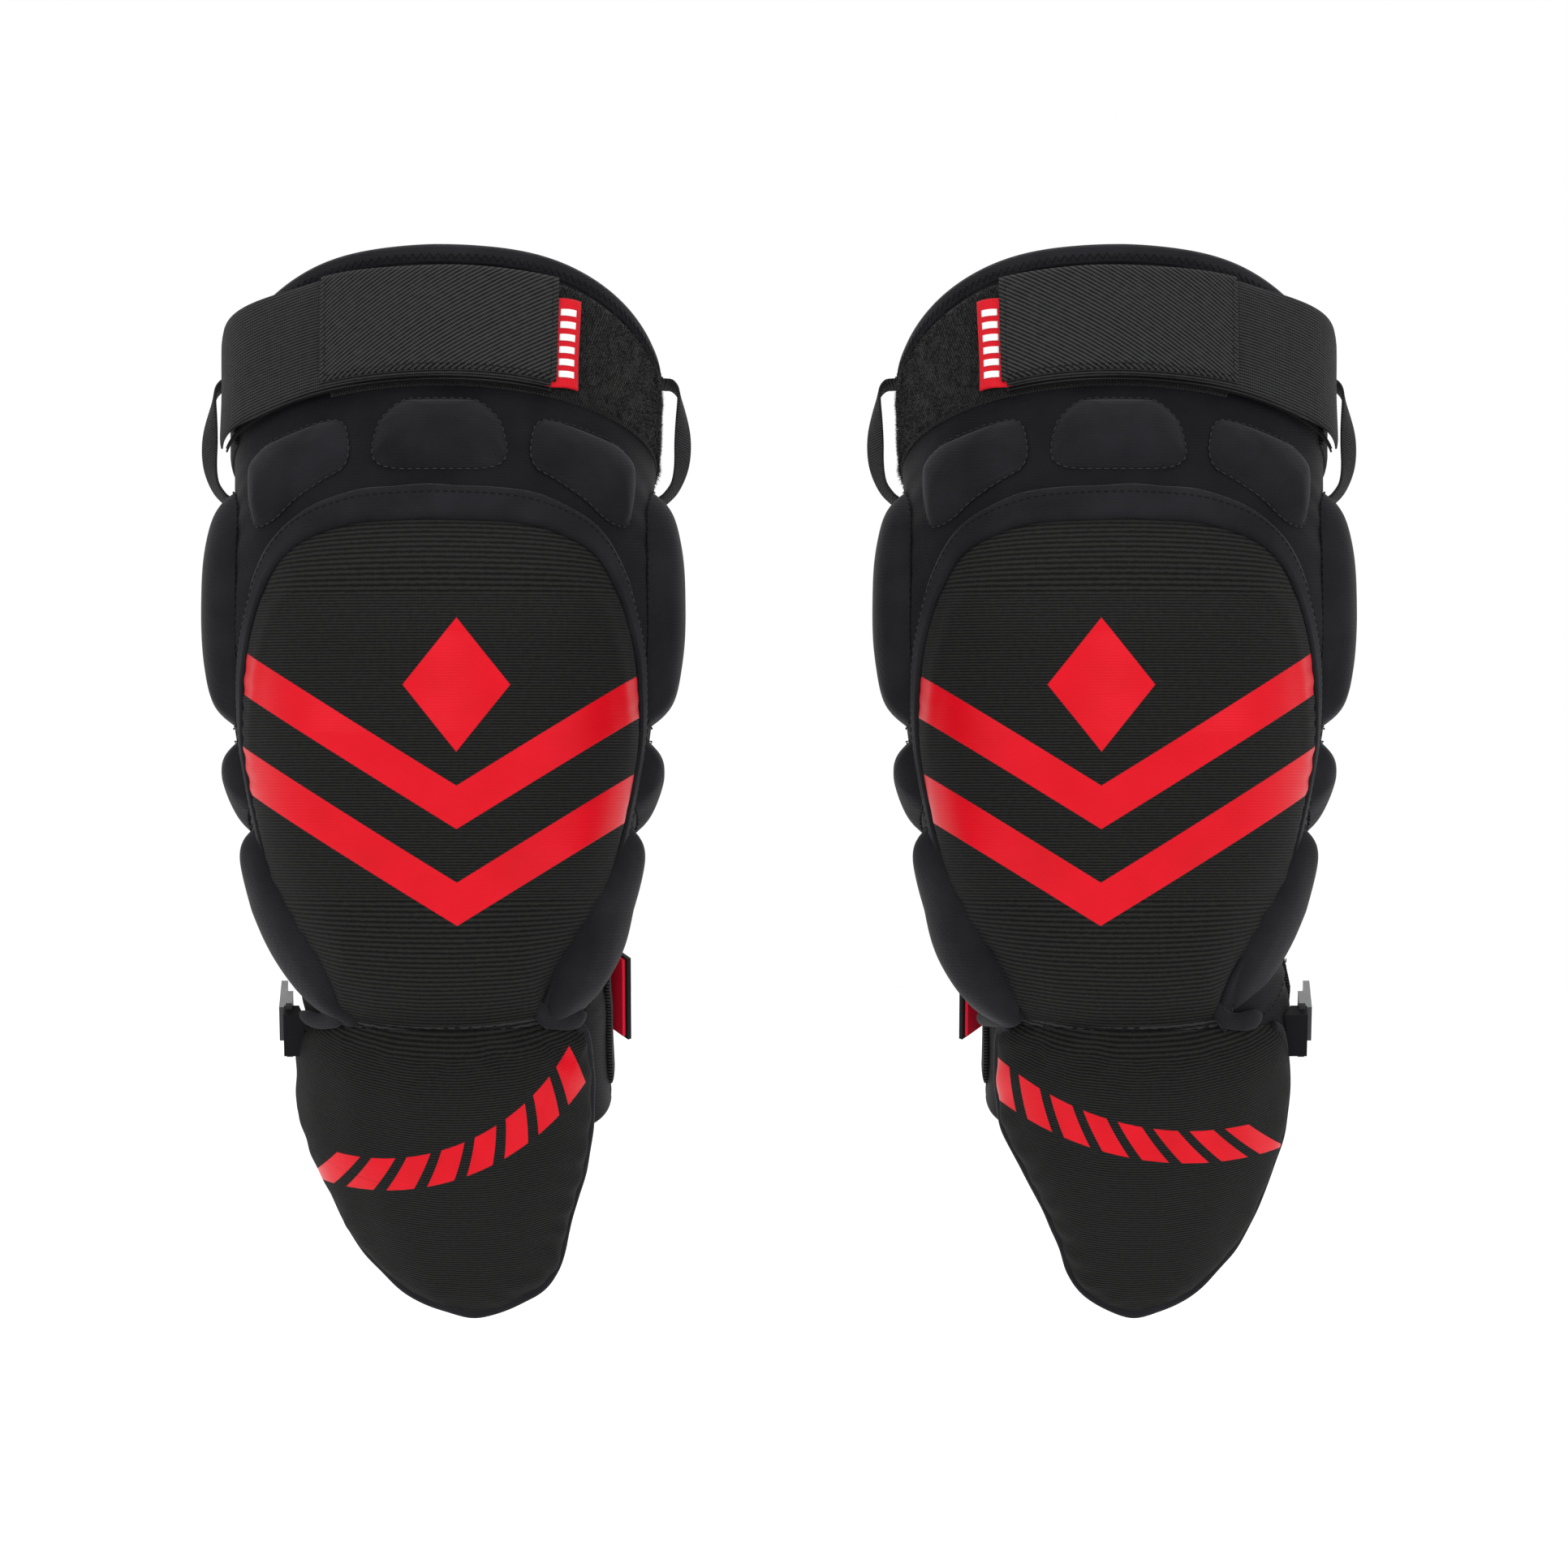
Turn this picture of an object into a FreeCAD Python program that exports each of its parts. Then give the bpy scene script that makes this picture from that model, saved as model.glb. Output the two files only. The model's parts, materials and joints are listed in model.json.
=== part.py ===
"""A pair of soft motorcycle knee guards, in millimetres.

Each guard is a stretch sleeve that is bent at the knee. Three lengths of it follow the leg: a thigh cuff with
an elastic hook-and-loop strap, a padded knee length with a hard cup under a printed cover, and a shin length with
a hard plate and a clip-on calf strap. The cuff and the shin length fold on two hinges that run across the leg.
+X is across the two guards, +Y is to the back of the leg, +Z is up. The origin is at the middle of the box that
holds the pair, at its lowest height. The right leg's guard is at -X, and the left leg's is at +X.
"""

import FreeCAD, Part
import math
import os

V = FreeCAD.Vector

# --- the pair -------------------------------------------------------------------------------------
GUARD_SPACING = 268.0  # between the two leg axes
# The shin's sideways offset on each guard, at its top and at its tip.
SHIN_SHIFT = {"right": (1.0, 11.0), "left": (10.0, 10.0)}

# --- the leg axis: three straight lengths that meet at two bends ----------------------------------
KNEE_LENGTH = 160.0  # from the lower bend to the upper bend
THIGH_LENGTH = 100.0  # from the upper bend to the cuff's top edge, at its middle
SHIN_LENGTH = 136.0  # from the lower bend to the shin plate's tip
THIGH_TILT = 30.0  # degrees that the cuff leans back at rest
SHIN_TILT = 25.0  # degrees that the shin length leans back at rest

# --- the sleeve's outside, half its width, and its reach in front of and behind the leg axis ------
THIGH_HALF_WIDTH = 84.0
KNEE_HALF_WIDTH = 87.0
SHIN_HALF_WIDTH = 60.0
FRONT_REACH = 62.0
BACK_REACH = 60.0
NEOPRENE = 3.0
MESH_WALL = 1.6

# --- the two folds --------------------------------------------------------------------------------
CUFF_HINGE_FORWARD = 25.0  # in front of the leg axis
CUFF_HINGE_ABOVE = 12.0  # above the upper bend
CUFF_FLEX = (-10.0, 25.0)  # degrees from rest, positive as the knee bends further
SHIN_HINGE_FORWARD = 25.0
SHIN_HINGE_BELOW = 14.0  # below the lower bend
SHIN_FLEX = (-10.0, 35.0)
FOLD_GAP = 3.0  # left between two lengths of the sleeve where they come closest
CUFF_START = 2.0  # the cuff's lower edge, above the upper bend
SHIN_START = 7.0  # the shin length's upper edge, below the lower bend

# --- knee cup -------------------------------------------------------------------------------------
CUP_ABOVE = 11.0  # the cover's top edge, above the upper bend
CUP_BELOW = 25.0  # the cover's lower edge, below the lower bend
CUP_HALF_WIDTH = 82.0
CUP_FOOT_HALF_WIDTH = 40.0
CUP_RISE = 24.0  # the foam's greatest thickness
CUP_EDGE_FOAM = 3.0  # the foam's thickness at the cup's upper and lower edges
CUP_SHELL = 2.5
COVER_FABRIC = 1.5
SHELL_INSET = 9.0  # from the cover's outline to the shell's
PIPING_WIDTH = 7.0
PIPING_THICKNESS = 2.4
PIPING_FOOT = 6.0  # the border's lower ends, above the cover's

# --- shin plate -----------------------------------------------------------------------------------
SHIN_PLATE_HALF_WIDTH = 55.0
SHIN_RISE = 7.0
SHIN_EDGE_FOAM = 2.0
SHIN_SHELL = 2.2

# --- foam pads ------------------------------------------------------------------------------------
CUFF_PAD_THICKNESS = 7.5
SIDE_PAD_THICKNESS = 8.0

# --- thigh strap ----------------------------------------------------------------------------------
STRAP_WIDTH = 50.0
STRAP_BOTTOM = 38.0  # the strap's lower edge, above the upper bend
STRAP_THICKNESS = 1.5
LOOP_PAD_THICKNESS = 1.2
HOOK_THICKNESS = 1.0
TOUCH_GAP = 0.3  # between hook and loop, and between any two pieces that part
FLAP_ROOT = -12.0  # where the flap leaves the side, along Y
FLAP_END = 44.0  # where the flap ends, along X towards the inner side
HOOK_START = -42.0
ANCHOR_LAP = 8.0  # how far the fixed strap runs on under the flap
LABEL_WIDTH = 10.0
LABEL_THICKNESS = 0.8
LABEL_HEIGHT = 36.0
PEEL = (0.0, 110.0)

# --- top binding ----------------------------------------------------------------------------------
BINDING_WIDTH = 9.0
BINDING_THICKNESS = 0.9
TOP_DROP = 19.0  # how much lower the cuff's top edge is at its sides than at its middle

# --- pull loops -----------------------------------------------------------------------------------
LOOP_LOW = 26.0
LOOP_HIGH = 80.0
LOOP_BOW = 10.0
LOOP_WIDTH = 8.0
LOOP_TAPE = 1.2
LOOP_END_WIDTH = 2.5
LOOP_END_GAP = 0.9
LOOP_CENTRE = 7.0  # behind the leg axis
LOOP_SWING = (-25.0, 25.0)

# --- calf strap -----------------------------------------------------------------------------------
CALF_STRAP_WIDTH = 50.0
CALF_STRAP_TOP = 7.0  # the strap's upper edge, below the lower bend
CALF_STRAP_THICKNESS = 1.8
CALF_STRAP_START = 14.0  # where the strap begins at the outer side, behind the leg axis
CALF_STRAP_END = 0.3  # where it ends at the inner side, behind the plate's border
CALF_PANEL_HEIGHT = 62.0
TAB_WIDTH = 36.0
TAB_TOP = 9.0
TAB_ROOT = 34.0  # behind the leg axis
TAB_LENGTH = 32.0
TAB_THICKNESS = 1.6
TAB_HOOK_THICKNESS = 1.2
TAB_STAND_OFF = (1.8, 10.5)  # how far the tab stands off the strap at its root and at its free end
TAB_FOLD_GAP = 3.5  # behind the tab's root, clear of the tab as it turns
TAB_FOLD_LENGTH = 4.0
TAB_FOLD_BELOW = 1.5  # the sewn fold's height below the tab's inner face
TAB_PEEL = (0.0, 80.0)

# --- clip -----------------------------------------------------------------------------------------
CLIP_MIDDLE = 30.0  # below the lower bend
FRAME_HEIGHT = 24.0
FRAME_LENGTH = 11.0
FRAME_BAR = 2.8
FRAME_THICKNESS = 2.6
FRAME_FRONT = -14.0  # the frame's front edge, along Y
CLIP_HEIGHT = 15.0
CLIP_LENGTH = 24.0
CLIP_THICKNESS = 2.6
CLIP_FIT = 0.4
CLIP_STAND_OFF = 0.8  # between the frame and the border that it lies on
CLIP_TAPE_REACH = 5.0  # how far the tape runs in front of the frame
CLIP_SWING = (0.0, 70.0)

REACH = 400.0  # longer than any piece, for cutting tools


# --- outlines and solids --------------------------------------------------------------------------
def half_oval(centre, half_width, depth, height):
    """Half an ellipse in a level plane; a negative depth is in front."""
    unit = Part.Arc(V(1, 0, 0), V(0, 1, 0), V(-1, 0, 0)).toShape()
    size = FreeCAD.Matrix()
    size.scale(half_width, depth, 1)
    size.move(V(centre, 0, height))
    return unit.transformGeometry(size)


class Length:
    """One straight length. Its profile rows are height, half width, front reach and back reach."""

    def __init__(self, profile, shift=lambda height: 0.0):
        self.profile = profile
        self.shift = shift
        self.made = {}

    def solid(self, grow, rise=None):
        """The filled length, grown by a wall, with an optional extra reach in front at each profile row."""
        rise = rise or [0.0] * len(self.profile)
        key = (round(grow, 4), tuple(round(r, 4) for r in rise))
        if key not in self.made:
            wires = []
            for (height, half_width, front, back), extra in zip(self.profile, rise):
                centre = self.shift(height)
                ahead = half_oval(centre, half_width + grow, -(front + grow + extra), height)
                behind = half_oval(centre, half_width + grow, back + grow, height)
                wires.append(Part.Wire([ahead, behind]))
            self.made[key] = Part.makeLoft(wires, True, False)
        return self.made[key]

    def wall(self, inside, outside):
        """The hollow layer between two growths."""
        return self.solid(outside).cut(self.solid(inside))

    def half_width(self, height):
        """The sleeve's half width at a height, between the profile rows."""
        return self.between(height, 1)

    def between(self, height, column):
        """One column of the profile at a height, straight between the two rows beside it."""
        rows = sorted(self.profile)
        for low, high in zip(rows, rows[1:]):
            if height <= high[0] or high is rows[-1]:
                share = (height - low[0]) / (high[0] - low[0])
                return low[column] + share * (high[column] - low[column])

    def side_at(self, height, y, grow=0.0):
        """The distance of the side wall's outside from the leg axis, at a height and a place along Y."""
        reach = self.between(height, 3 if y > 0 else 2) + grow
        return (self.half_width(height) + grow) * math.sqrt(max(0.0, 1 - (y / reach) ** 2))


def smooth_outline(points):
    """A closed smooth curve through the points, as a face."""
    curve = Part.BSplineCurve()
    curve.interpolate(points, PeriodicFlag=True)
    return Part.Face(Part.Wire(curve.toShape()))


def straight_outline(points):
    return Part.Face(Part.makePolygon(points + points[:1]))


def front_tool(face):
    """Everything in front of the leg axis that an outline in the XZ plane covers."""
    return face.extrude(V(0, -REACH, 0))


def side_tool(face, side):
    """Everything at one side of the leg axis that an outline in the YZ plane covers."""
    return face.extrude(V(side * REACH, 0, 0))


def box(x, y, z):
    """A box from three pairs of low and high."""
    return Part.makeBox(x[1] - x[0], y[1] - y[0], z[1] - z[0], V(x[0], y[0], z[0]))


def slab(low, high):
    return box((-REACH, REACH), (-REACH, REACH), (low, high))


def tilted(shape, degrees, height):
    """Turns a length's own pieces about X, then lifts them to their bend."""
    placed = shape.copy()
    placed.rotate(V(0, 0, 0), V(1, 0, 0), degrees)
    placed.translate(V(0, 0, height))
    return placed


def turned(y, z, degrees, about):
    """A point of the YZ plane, turned about a hinge that runs along X."""
    a = math.radians(degrees)
    dy, dz = y - about[0], z - about[1]
    return (about[0] + dy * math.cos(a) - dz * math.sin(a), about[1] + dy * math.sin(a) + dz * math.cos(a))


# --- hinges, in the knee length's frame: Y and Z of each axis -------------------------------------
CUFF_HINGE = (-CUFF_HINGE_FORWARD, KNEE_LENGTH + CUFF_HINGE_ABOVE)
SHIN_HINGE = (-SHIN_HINGE_FORWARD, -SHIN_HINGE_BELOW)


def cuff_edge(y, flex):
    """The height of the cuff's lower edge above a place along Y, with the cuff flexed."""
    tilt = math.radians(-THIGH_TILT - flex)
    start = turned(0.0, KNEE_LENGTH, -flex, CUFF_HINGE)
    return start[1] + CUFF_START / math.cos(tilt) + (y - start[0]) * math.tan(tilt)


def shin_edge(y, flex):
    """The height of the shin length's upper edge above a place along Y, with the shin flexed."""
    tilt = math.radians(SHIN_TILT + flex)
    start = turned(0.0, 0.0, flex, SHIN_HINGE)
    return start[1] - SHIN_START / math.cos(tilt) + (y - start[0]) * math.tan(tilt)


# --- the three lengths ----------------------------------------------------------------------------
THIGH_ROWS = (  # share of the length, of the half width, of the front reach, of the back reach
    (-0.10, 0.985, 1.00, 0.96),
    (0.30, 1.00, 1.03, 1.00),
    (0.65, 1.01, 1.06, 1.03),
    (1.10, 1.02, 1.08, 1.05),
)
KNEE_ROWS = (
    (-0.24, 0.63, 0.87, 0.94),
    (0.00, 0.735, 0.92, 0.94),
    (0.25, 0.865, 0.95, 0.95),
    (0.53, 0.955, 0.97, 0.96),
    (0.78, 1.00, 0.985, 0.96),
    (1.16, 0.99, 1.00, 0.96),
)
CUP_SHARE = (0.0, 0.42, 0.85, 1.0, 0.86, 0.0)  # of the cup's rise, at each row of the knee length
SHIN_ROWS = (
    (0.03, 1.02, 0.90, 0.94),
    (-0.25, 1.00, 0.87, 0.92),
    (-0.52, 0.985, 0.81, 0.86),
    (-0.72, 0.87, 0.74, 0.78),
    (-0.88, 0.77, 0.69, 0.72),
    (-1.04, 0.70, 0.65, 0.68),
)
SHIN_SHARE = (0.2, 1.0, 1.0, 0.8, 0.4, 0.1)


def profile(rows, length, half_width):
    return [(h * length, w * half_width, f * FRONT_REACH, b * BACK_REACH) for h, w, f, b in rows]


# --- the thigh cuff, in its own frame: Z along its axis from the upper bend, X from the outer to th
def top_edge(drop):
    """Everything below the cuff's arched top edge, lowered by drop, in front and behind alike."""
    side = THIGH_HALF_WIDTH * 1.3
    middle = THIGH_LENGTH - drop
    end = middle - TOP_DROP * 1.5
    arch = Part.Arc(V(-side, -REACH, end), V(0, -REACH, middle), V(side, -REACH, end))
    corners = [V(side, -REACH, end), V(side, -REACH, -REACH)]
    corners += [V(-side, -REACH, -REACH), V(-side, -REACH, end)]
    edges = [arch.toShape()] + [Part.makeLine(a, b) for a, b in zip(corners, corners[1:])]
    return Part.Face(Part.Wire(Part.__sortEdges__(edges))).extrude(V(0, 2 * REACH, 0))


SEAM_BEHIND = 14.0  # where the cuff's front panel meets its back panel, behind the leg axis


def thigh_sleeve(thigh):
    front = box((-REACH, REACH), (-REACH, SEAM_BEHIND), (CUFF_START, REACH))
    return thigh.wall(-NEOPRENE, 0).common(front).common(top_edge(BINDING_THICKNESS))


def thigh_back_panel(thigh):
    back = box((-REACH, REACH), (SEAM_BEHIND, REACH), (CUFF_START, REACH))
    return thigh.wall(-MESH_WALL, 0).common(back).common(top_edge(BINDING_THICKNESS))


def top_binding(thigh):
    """A folded tape over the top edge: it covers both faces of the wall and the edge itself."""
    tape = thigh.wall(-NEOPRENE - BINDING_THICKNESS, BINDING_THICKNESS).common(top_edge(0))
    tape = tape.cut(top_edge(BINDING_WIDTH))
    return tape.cut(thigh_sleeve(thigh)).cut(thigh_back_panel(thigh))


def cuff_pads(thigh):
    """Three foam pads under the strap: one in the middle, and a larger one at each side."""
    top = STRAP_BOTTOM - 3.0
    layer = thigh.wall(0, CUFF_PAD_THICKNESS)
    half = [(0, 0), (18, 0), (28, 4), (29, 12), (22, top - 7), (12, top - 6)]
    middle = half + [(0, top - 6)] + [(-x, z) for x, z in reversed(half[1:])]
    outer = [(44, 4), (60, 2), (72, 2), (78, 6), (80, 15), (78, top - 4), (64, top), (48, top - 5)]
    outer += [(39, 22), (38, 10)]
    pads = []
    for points in (middle, outer, [(-x, z) for x, z in outer]):
        tool = front_tool(smooth_outline([V(x, 0, z) for x, z in points]))
        pads.append(layer.common(tool))
    return pads


def strap_band():
    return slab(STRAP_BOTTOM, STRAP_BOTTOM + STRAP_WIDTH)


def thigh_strap_anchor(thigh):
    """The fixed strap: from the inner seam, round the back, to the outer side."""
    layer = thigh.wall(0, STRAP_THICKNESS).common(strap_band()).common(top_edge(BINDING_WIDTH + 0.3))
    behind = box((-REACH, REACH), (SEAM_BEHIND + 4.0, REACH), (-REACH, REACH))
    outer_side = box((-REACH, 0), (FLAP_ROOT - ANCHOR_LAP, REACH), (-REACH, REACH))
    return layer.common(behind.fuse(outer_side))


def thigh_loop_pad(thigh):
    layer = thigh.wall(0, LOOP_PAD_THICKNESS).common(strap_band()).common(top_edge(BINDING_WIDTH + 0.3))
    return layer.common(box((HOOK_START - 6.0, REACH), (-REACH, SEAM_BEHIND), (-REACH, REACH)))


FLAP_INSIDE = LOOP_PAD_THICKNESS + TOUCH_GAP + HOOK_THICKNESS


def thigh_strap(thigh):
    layer = thigh.wall(FLAP_INSIDE, FLAP_INSIDE + STRAP_THICKNESS).common(strap_band())
    return layer.common(box((-REACH, FLAP_END), (-REACH, FLAP_ROOT), (-REACH, REACH)))


def thigh_hook_patch(thigh):
    layer = thigh.wall(LOOP_PAD_THICKNESS + TOUCH_GAP, FLAP_INSIDE)
    inside_strap = slab(STRAP_BOTTOM + 3.0, STRAP_BOTTOM + STRAP_WIDTH - 3.0)
    return layer.common(inside_strap).common(box((HOOK_START, FLAP_END - 2.0), (-REACH, 0), (-REACH, REACH)))


def thigh_strap_label(thigh):
    layer = thigh.wall(FLAP_INSIDE, FLAP_INSIDE + LABEL_THICKNESS)
    middle = STRAP_BOTTOM + STRAP_WIDTH / 2
    tall = slab(middle - LABEL_HEIGHT / 2, middle + LABEL_HEIGHT / 2)
    return layer.common(tall).common(box((FLAP_END, FLAP_END + LABEL_WIDTH), (-REACH, 0), (-REACH, REACH)))


def flap_axis(thigh):
    """A point on the line that the flap turns about, in the thigh frame."""
    height = STRAP_BOTTOM + STRAP_WIDTH / 2
    return V(-thigh.side_at(height, FLAP_ROOT, FLAP_INSIDE + STRAP_THICKNESS), FLAP_ROOT, height)


def loop_ends(thigh, side):
    """The two ends of a pull loop, in the thigh frame."""
    surface = {-1: STRAP_THICKNESS, 1: LOOP_PAD_THICKNESS}[side]
    low = thigh.side_at(LOOP_LOW, LOOP_CENTRE) + LOOP_END_GAP
    high = thigh.side_at(LOOP_HIGH, LOOP_CENTRE, surface) + LOOP_END_GAP
    return V(side * low, LOOP_CENTRE, LOOP_LOW), V(side * high, LOOP_CENTRE, LOOP_HIGH)


def pull_loop(thigh, side):
    """A tape bowed outwards between its two sewn ends, and narrower there."""
    low, high = loop_ends(thigh, side)
    middle = (low + high) / 2 + V(side * LOOP_BOW, 0, 0)
    inner = Part.Arc(low, middle, high).toShape()
    step = V(side * LOOP_TAPE, 0, 0)
    outer = Part.Arc(low + step, middle + step, high + step).toShape()
    ends = [Part.makeLine(low, low + step), Part.makeLine(high, high + step)]
    face = Part.Face(Part.Wire(Part.__sortEdges__([inner, outer] + ends)))
    face.translate(V(0, -LOOP_WIDTH / 2, 0))
    tape = face.extrude(V(0, LOOP_WIDTH, 0))
    taper = 10.0
    half, end = LOOP_WIDTH / 2, LOOP_END_WIDTH / 2
    ring = [(-end, low.z), (end, low.z), (half, low.z + taper), (half, high.z - taper)]
    ring += [(end, high.z), (-end, high.z), (-half, high.z - taper), (-half, low.z + taper)]
    outline = straight_outline([V(0, LOOP_CENTRE + y, z) for y, z in ring])
    return tape.common(side_tool(outline, side))


# --- the knee length, in its own frame: Z up from the lower bend ----------------------------------
def sleeve_side_outline(back):
    """The knee sleeve's outline from the side: clear of the cuff and the shin over their travel."""
    front = -FRONT_REACH * 1.3

    def top(y):
        return min(cuff_edge(y, flex) for flex in CUFF_FLEX) - FOLD_GAP

    def bottom(y):
        return max(shin_edge(y, flex) for flex in SHIN_FLEX) + FOLD_GAP

    def crossing(edge, limits):
        """Where the edge's two limit lines meet along Y."""
        rise = [(edge(1.0, flex) - edge(0.0, flex), edge(0.0, flex)) for flex in limits]
        return (rise[1][1] - rise[0][1]) / (rise[0][0] - rise[1][0])

    upper = crossing(cuff_edge, CUFF_FLEX)
    lower = crossing(shin_edge, SHIN_FLEX)
    return [
        V(0, front, min(top(front), KNEE_LENGTH + CUP_ABOVE)),
        V(0, upper - 18.0, min(top(upper - 18.0), KNEE_LENGTH + CUP_ABOVE)),
        V(0, upper, top(upper)),
        V(0, back, top(back)),
        V(0, back, bottom(back)),
        V(0, lower, bottom(lower)),
        V(0, front, bottom(lower)),
    ]


SLEEVE_BACK = 22.0  # how far the knee sleeve's sides reach behind the leg axis


def knee_sleeve(knee):
    outline = straight_outline(sleeve_side_outline(SLEEVE_BACK))
    outline.translate(V(-REACH, 0, 0))
    return knee.wall(-NEOPRENE, 0).common(outline.extrude(V(2 * REACH, 0, 0)))


def cup_outline(grow):
    """The knee cover's outline from the front; its foot is a shallow curve between two corners."""
    top = KNEE_LENGTH + CUP_ABOVE
    tall = top + CUP_BELOW
    side = [(CUP_FOOT_HALF_WIDTH, 2.0 - CUP_BELOW), (0.58 * CUP_HALF_WIDTH, 0.10 * tall - CUP_BELOW)]
    side += [(0.89 * CUP_HALF_WIDTH, 0.33 * tall - CUP_BELOW), (CUP_HALF_WIDTH, 0.60 * tall - CUP_BELOW)]
    side += [(0.85 * CUP_HALF_WIDTH, 0.87 * tall - CUP_BELOW), (0.50 * CUP_HALF_WIDTH, top - 1.5), (0.0, top)]
    middle = 0.5 * tall - CUP_BELOW
    grown = []
    for x, z in side:
        away = math.hypot(x, z - middle)
        grown.append((x + grow * x / away, z + grow * (z - middle) / away))
    points = [V(x, 0, z) for x, z in grown] + [V(-x, 0, z) for x, z in reversed(grown[:-1])]
    curve = Part.BSplineCurve()
    curve.interpolate(points)
    foot = Part.Arc(points[-1], V(0, 0, points[0].z - 3.0), points[0]).toShape()
    return Part.Face(Part.Wire([curve.toShape(), foot]))


def cup_rise(extra):
    return [CUP_EDGE_FOAM + share * (CUP_RISE - CUP_EDGE_FOAM) + extra for share in CUP_SHARE]


def knee_cup(knee):
    """Foam, a hard shell on it, and a fabric cover that closes down to the sleeve round them."""
    sleeve = knee.solid(0)
    foam_top = knee.solid(0.5, cup_rise(0))
    shell_top = knee.solid(0.5 + CUP_SHELL, cup_rise(0))
    cover_top = knee.solid(0.5 + CUP_SHELL + COVER_FABRIC, cup_rise(0))
    pocket = front_tool(cup_outline(-SHELL_INSET))
    foam = foam_top.cut(sleeve).common(pocket)
    shell = shell_top.cut(foam_top).common(pocket)
    cover = cover_top.cut(sleeve).common(front_tool(cup_outline(0))).cut(shell_top.common(pocket))
    return foam, shell, cover


def knee_piping(knee):
    """A narrow neoprene border round the cover, open along its foot."""
    border = cup_outline(PIPING_WIDTH).cut(cup_outline(0))
    above_foot = slab(PIPING_FOOT - CUP_BELOW, REACH)
    return knee.wall(0, PIPING_THICKNESS).common(front_tool(border)).common(above_foot)


def side_pads(knee, thigh, side):
    """Three foam pads down one side: a tall one, a small one, and a long one by the cup's foot."""
    layer = knee.wall(0, SIDE_PAD_THICKNESS).cut(front_tool(cup_outline(PIPING_WIDTH + 0.6)))
    for flex in (CUFF_FLEX[0], 0.0, CUFF_FLEX[1]):
        cuff = tilted(thigh.solid(STRAP_THICKNESS), -THIGH_TILT, KNEE_LENGTH)
        cuff.rotate(V(0, *CUFF_HINGE), V(1, 0, 0), -flex)
        layer = layer.cut(cuff)
    length = KNEE_LENGTH
    tall = [(-16, 0.57 * length), (6, 0.54 * length), (26, 0.62 * length), (30, 0.78 * length)]
    tall += [(24, 0.91 * length), (13, length - 2.0), (5, length + 15.0), (-6, length + 19.0)]
    tall += [(-16, length + 6.0), (-19, 0.84 * length)]
    small = [(-19, 0.28 * length), (0, 0.24 * length), (15, 0.33 * length)]
    small += [(10, 0.46 * length), (-16, 0.48 * length)]
    low = [(-46, -0.08 * length), (-34, -0.07 * length), (-18, 0.05 * length), (-6, 0.19 * length)]
    low += [(-22, 0.24 * length), (-40, 0.10 * length)]
    pads = []
    for points in (tall, small, low):
        pads.append(layer.common(side_tool(smooth_outline([V(0, y, z) for y, z in points]), side)))
    return pads


# --- the shin length, in its own frame: Z along its axis, negative below the lower bend -----------
def plate_outline(shin, grow):
    """The shin cover's outline from the front: straight at its top, and round at its tip."""
    top, bottom = -SHIN_START - 1.0, -SHIN_LENGTH - grow
    wide = SHIN_PLATE_HALF_WIDTH + grow
    side = [(0.99, 0.04), (1.00, 0.25), (0.955, 0.42), (0.78, 0.62), (0.63, 0.82), (0.36, 0.96)]
    shape = [(share * wide, height * bottom) for share, height in side]
    shape[0] = (shape[0][0], top)
    right = [V(shin.shift(z) + x, 0, z) for x, z in shape]
    left = [V(shin.shift(z) - x, 0, z) for x, z in reversed(shape)]
    curve = Part.BSplineCurve()
    curve.interpolate(right + [V(shin.shift(bottom), 0, bottom)] + left)
    return Part.Face(Part.Wire([curve.toShape(), Part.makeLine(left[-1], right[0])]))


def shin_rise(extra):
    return [SHIN_EDGE_FOAM + share * (SHIN_RISE - SHIN_EDGE_FOAM) + extra for share in SHIN_SHARE]


SHIN_PIPING = 5.0


def shin_sleeve(shin):
    """The neoprene under the plate, and its sides as far back as the calf panel."""
    under = front_tool(plate_outline(shin, SHIN_PIPING))
    sides = box((-REACH, REACH), (-REACH, 0.0), (-SHIN_START - CALF_PANEL_HEIGHT, -SHIN_START))
    return shin.wall(-NEOPRENE, 0).common(slab(-REACH, -SHIN_START)).common(under.fuse(sides))


def calf_panel(shin):
    back = box((-REACH, REACH), (0.0, REACH), (-SHIN_START - CALF_PANEL_HEIGHT, -SHIN_START))
    return shin.wall(-MESH_WALL, 0).common(back)


def shin_plate(shin):
    sleeve = shin.solid(0)
    foam_top = shin.solid(0.3, shin_rise(0))
    shell_top = shin.solid(0.3 + SHIN_SHELL, shin_rise(0))
    cover_top = shin.solid(0.3 + SHIN_SHELL + COVER_FABRIC, shin_rise(0))
    pocket = front_tool(plate_outline(shin, -7.0)).common(slab(-REACH, -SHIN_START - 8.0))
    foam = foam_top.cut(sleeve).common(pocket)
    shell = shell_top.cut(foam_top).common(pocket)
    cover = cover_top.cut(sleeve).common(front_tool(plate_outline(shin, 0))).cut(shell_top.common(pocket))
    return foam, shell, cover


def shin_piping(shin):
    border = plate_outline(shin, SHIN_PIPING).cut(plate_outline(shin, 0))
    return shin.wall(0, PIPING_THICKNESS).common(front_tool(border)).common(slab(-REACH, -SHIN_START - 1.0))


def calf_strap(shin):
    """From the clip at the outer side, round the back of the calf, to the inner side."""
    band = slab(-CALF_STRAP_TOP - CALF_STRAP_WIDTH, -CALF_STRAP_TOP)
    layer = shin.wall(0, CALF_STRAP_THICKNESS).common(band)
    behind = box((-REACH, REACH), (CALF_STRAP_START, REACH), (-REACH, REACH))
    inner_side = box((0, REACH), (CALF_STRAP_END, REACH), (-REACH, REACH))
    return layer.common(behind.fuse(inner_side))


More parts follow.
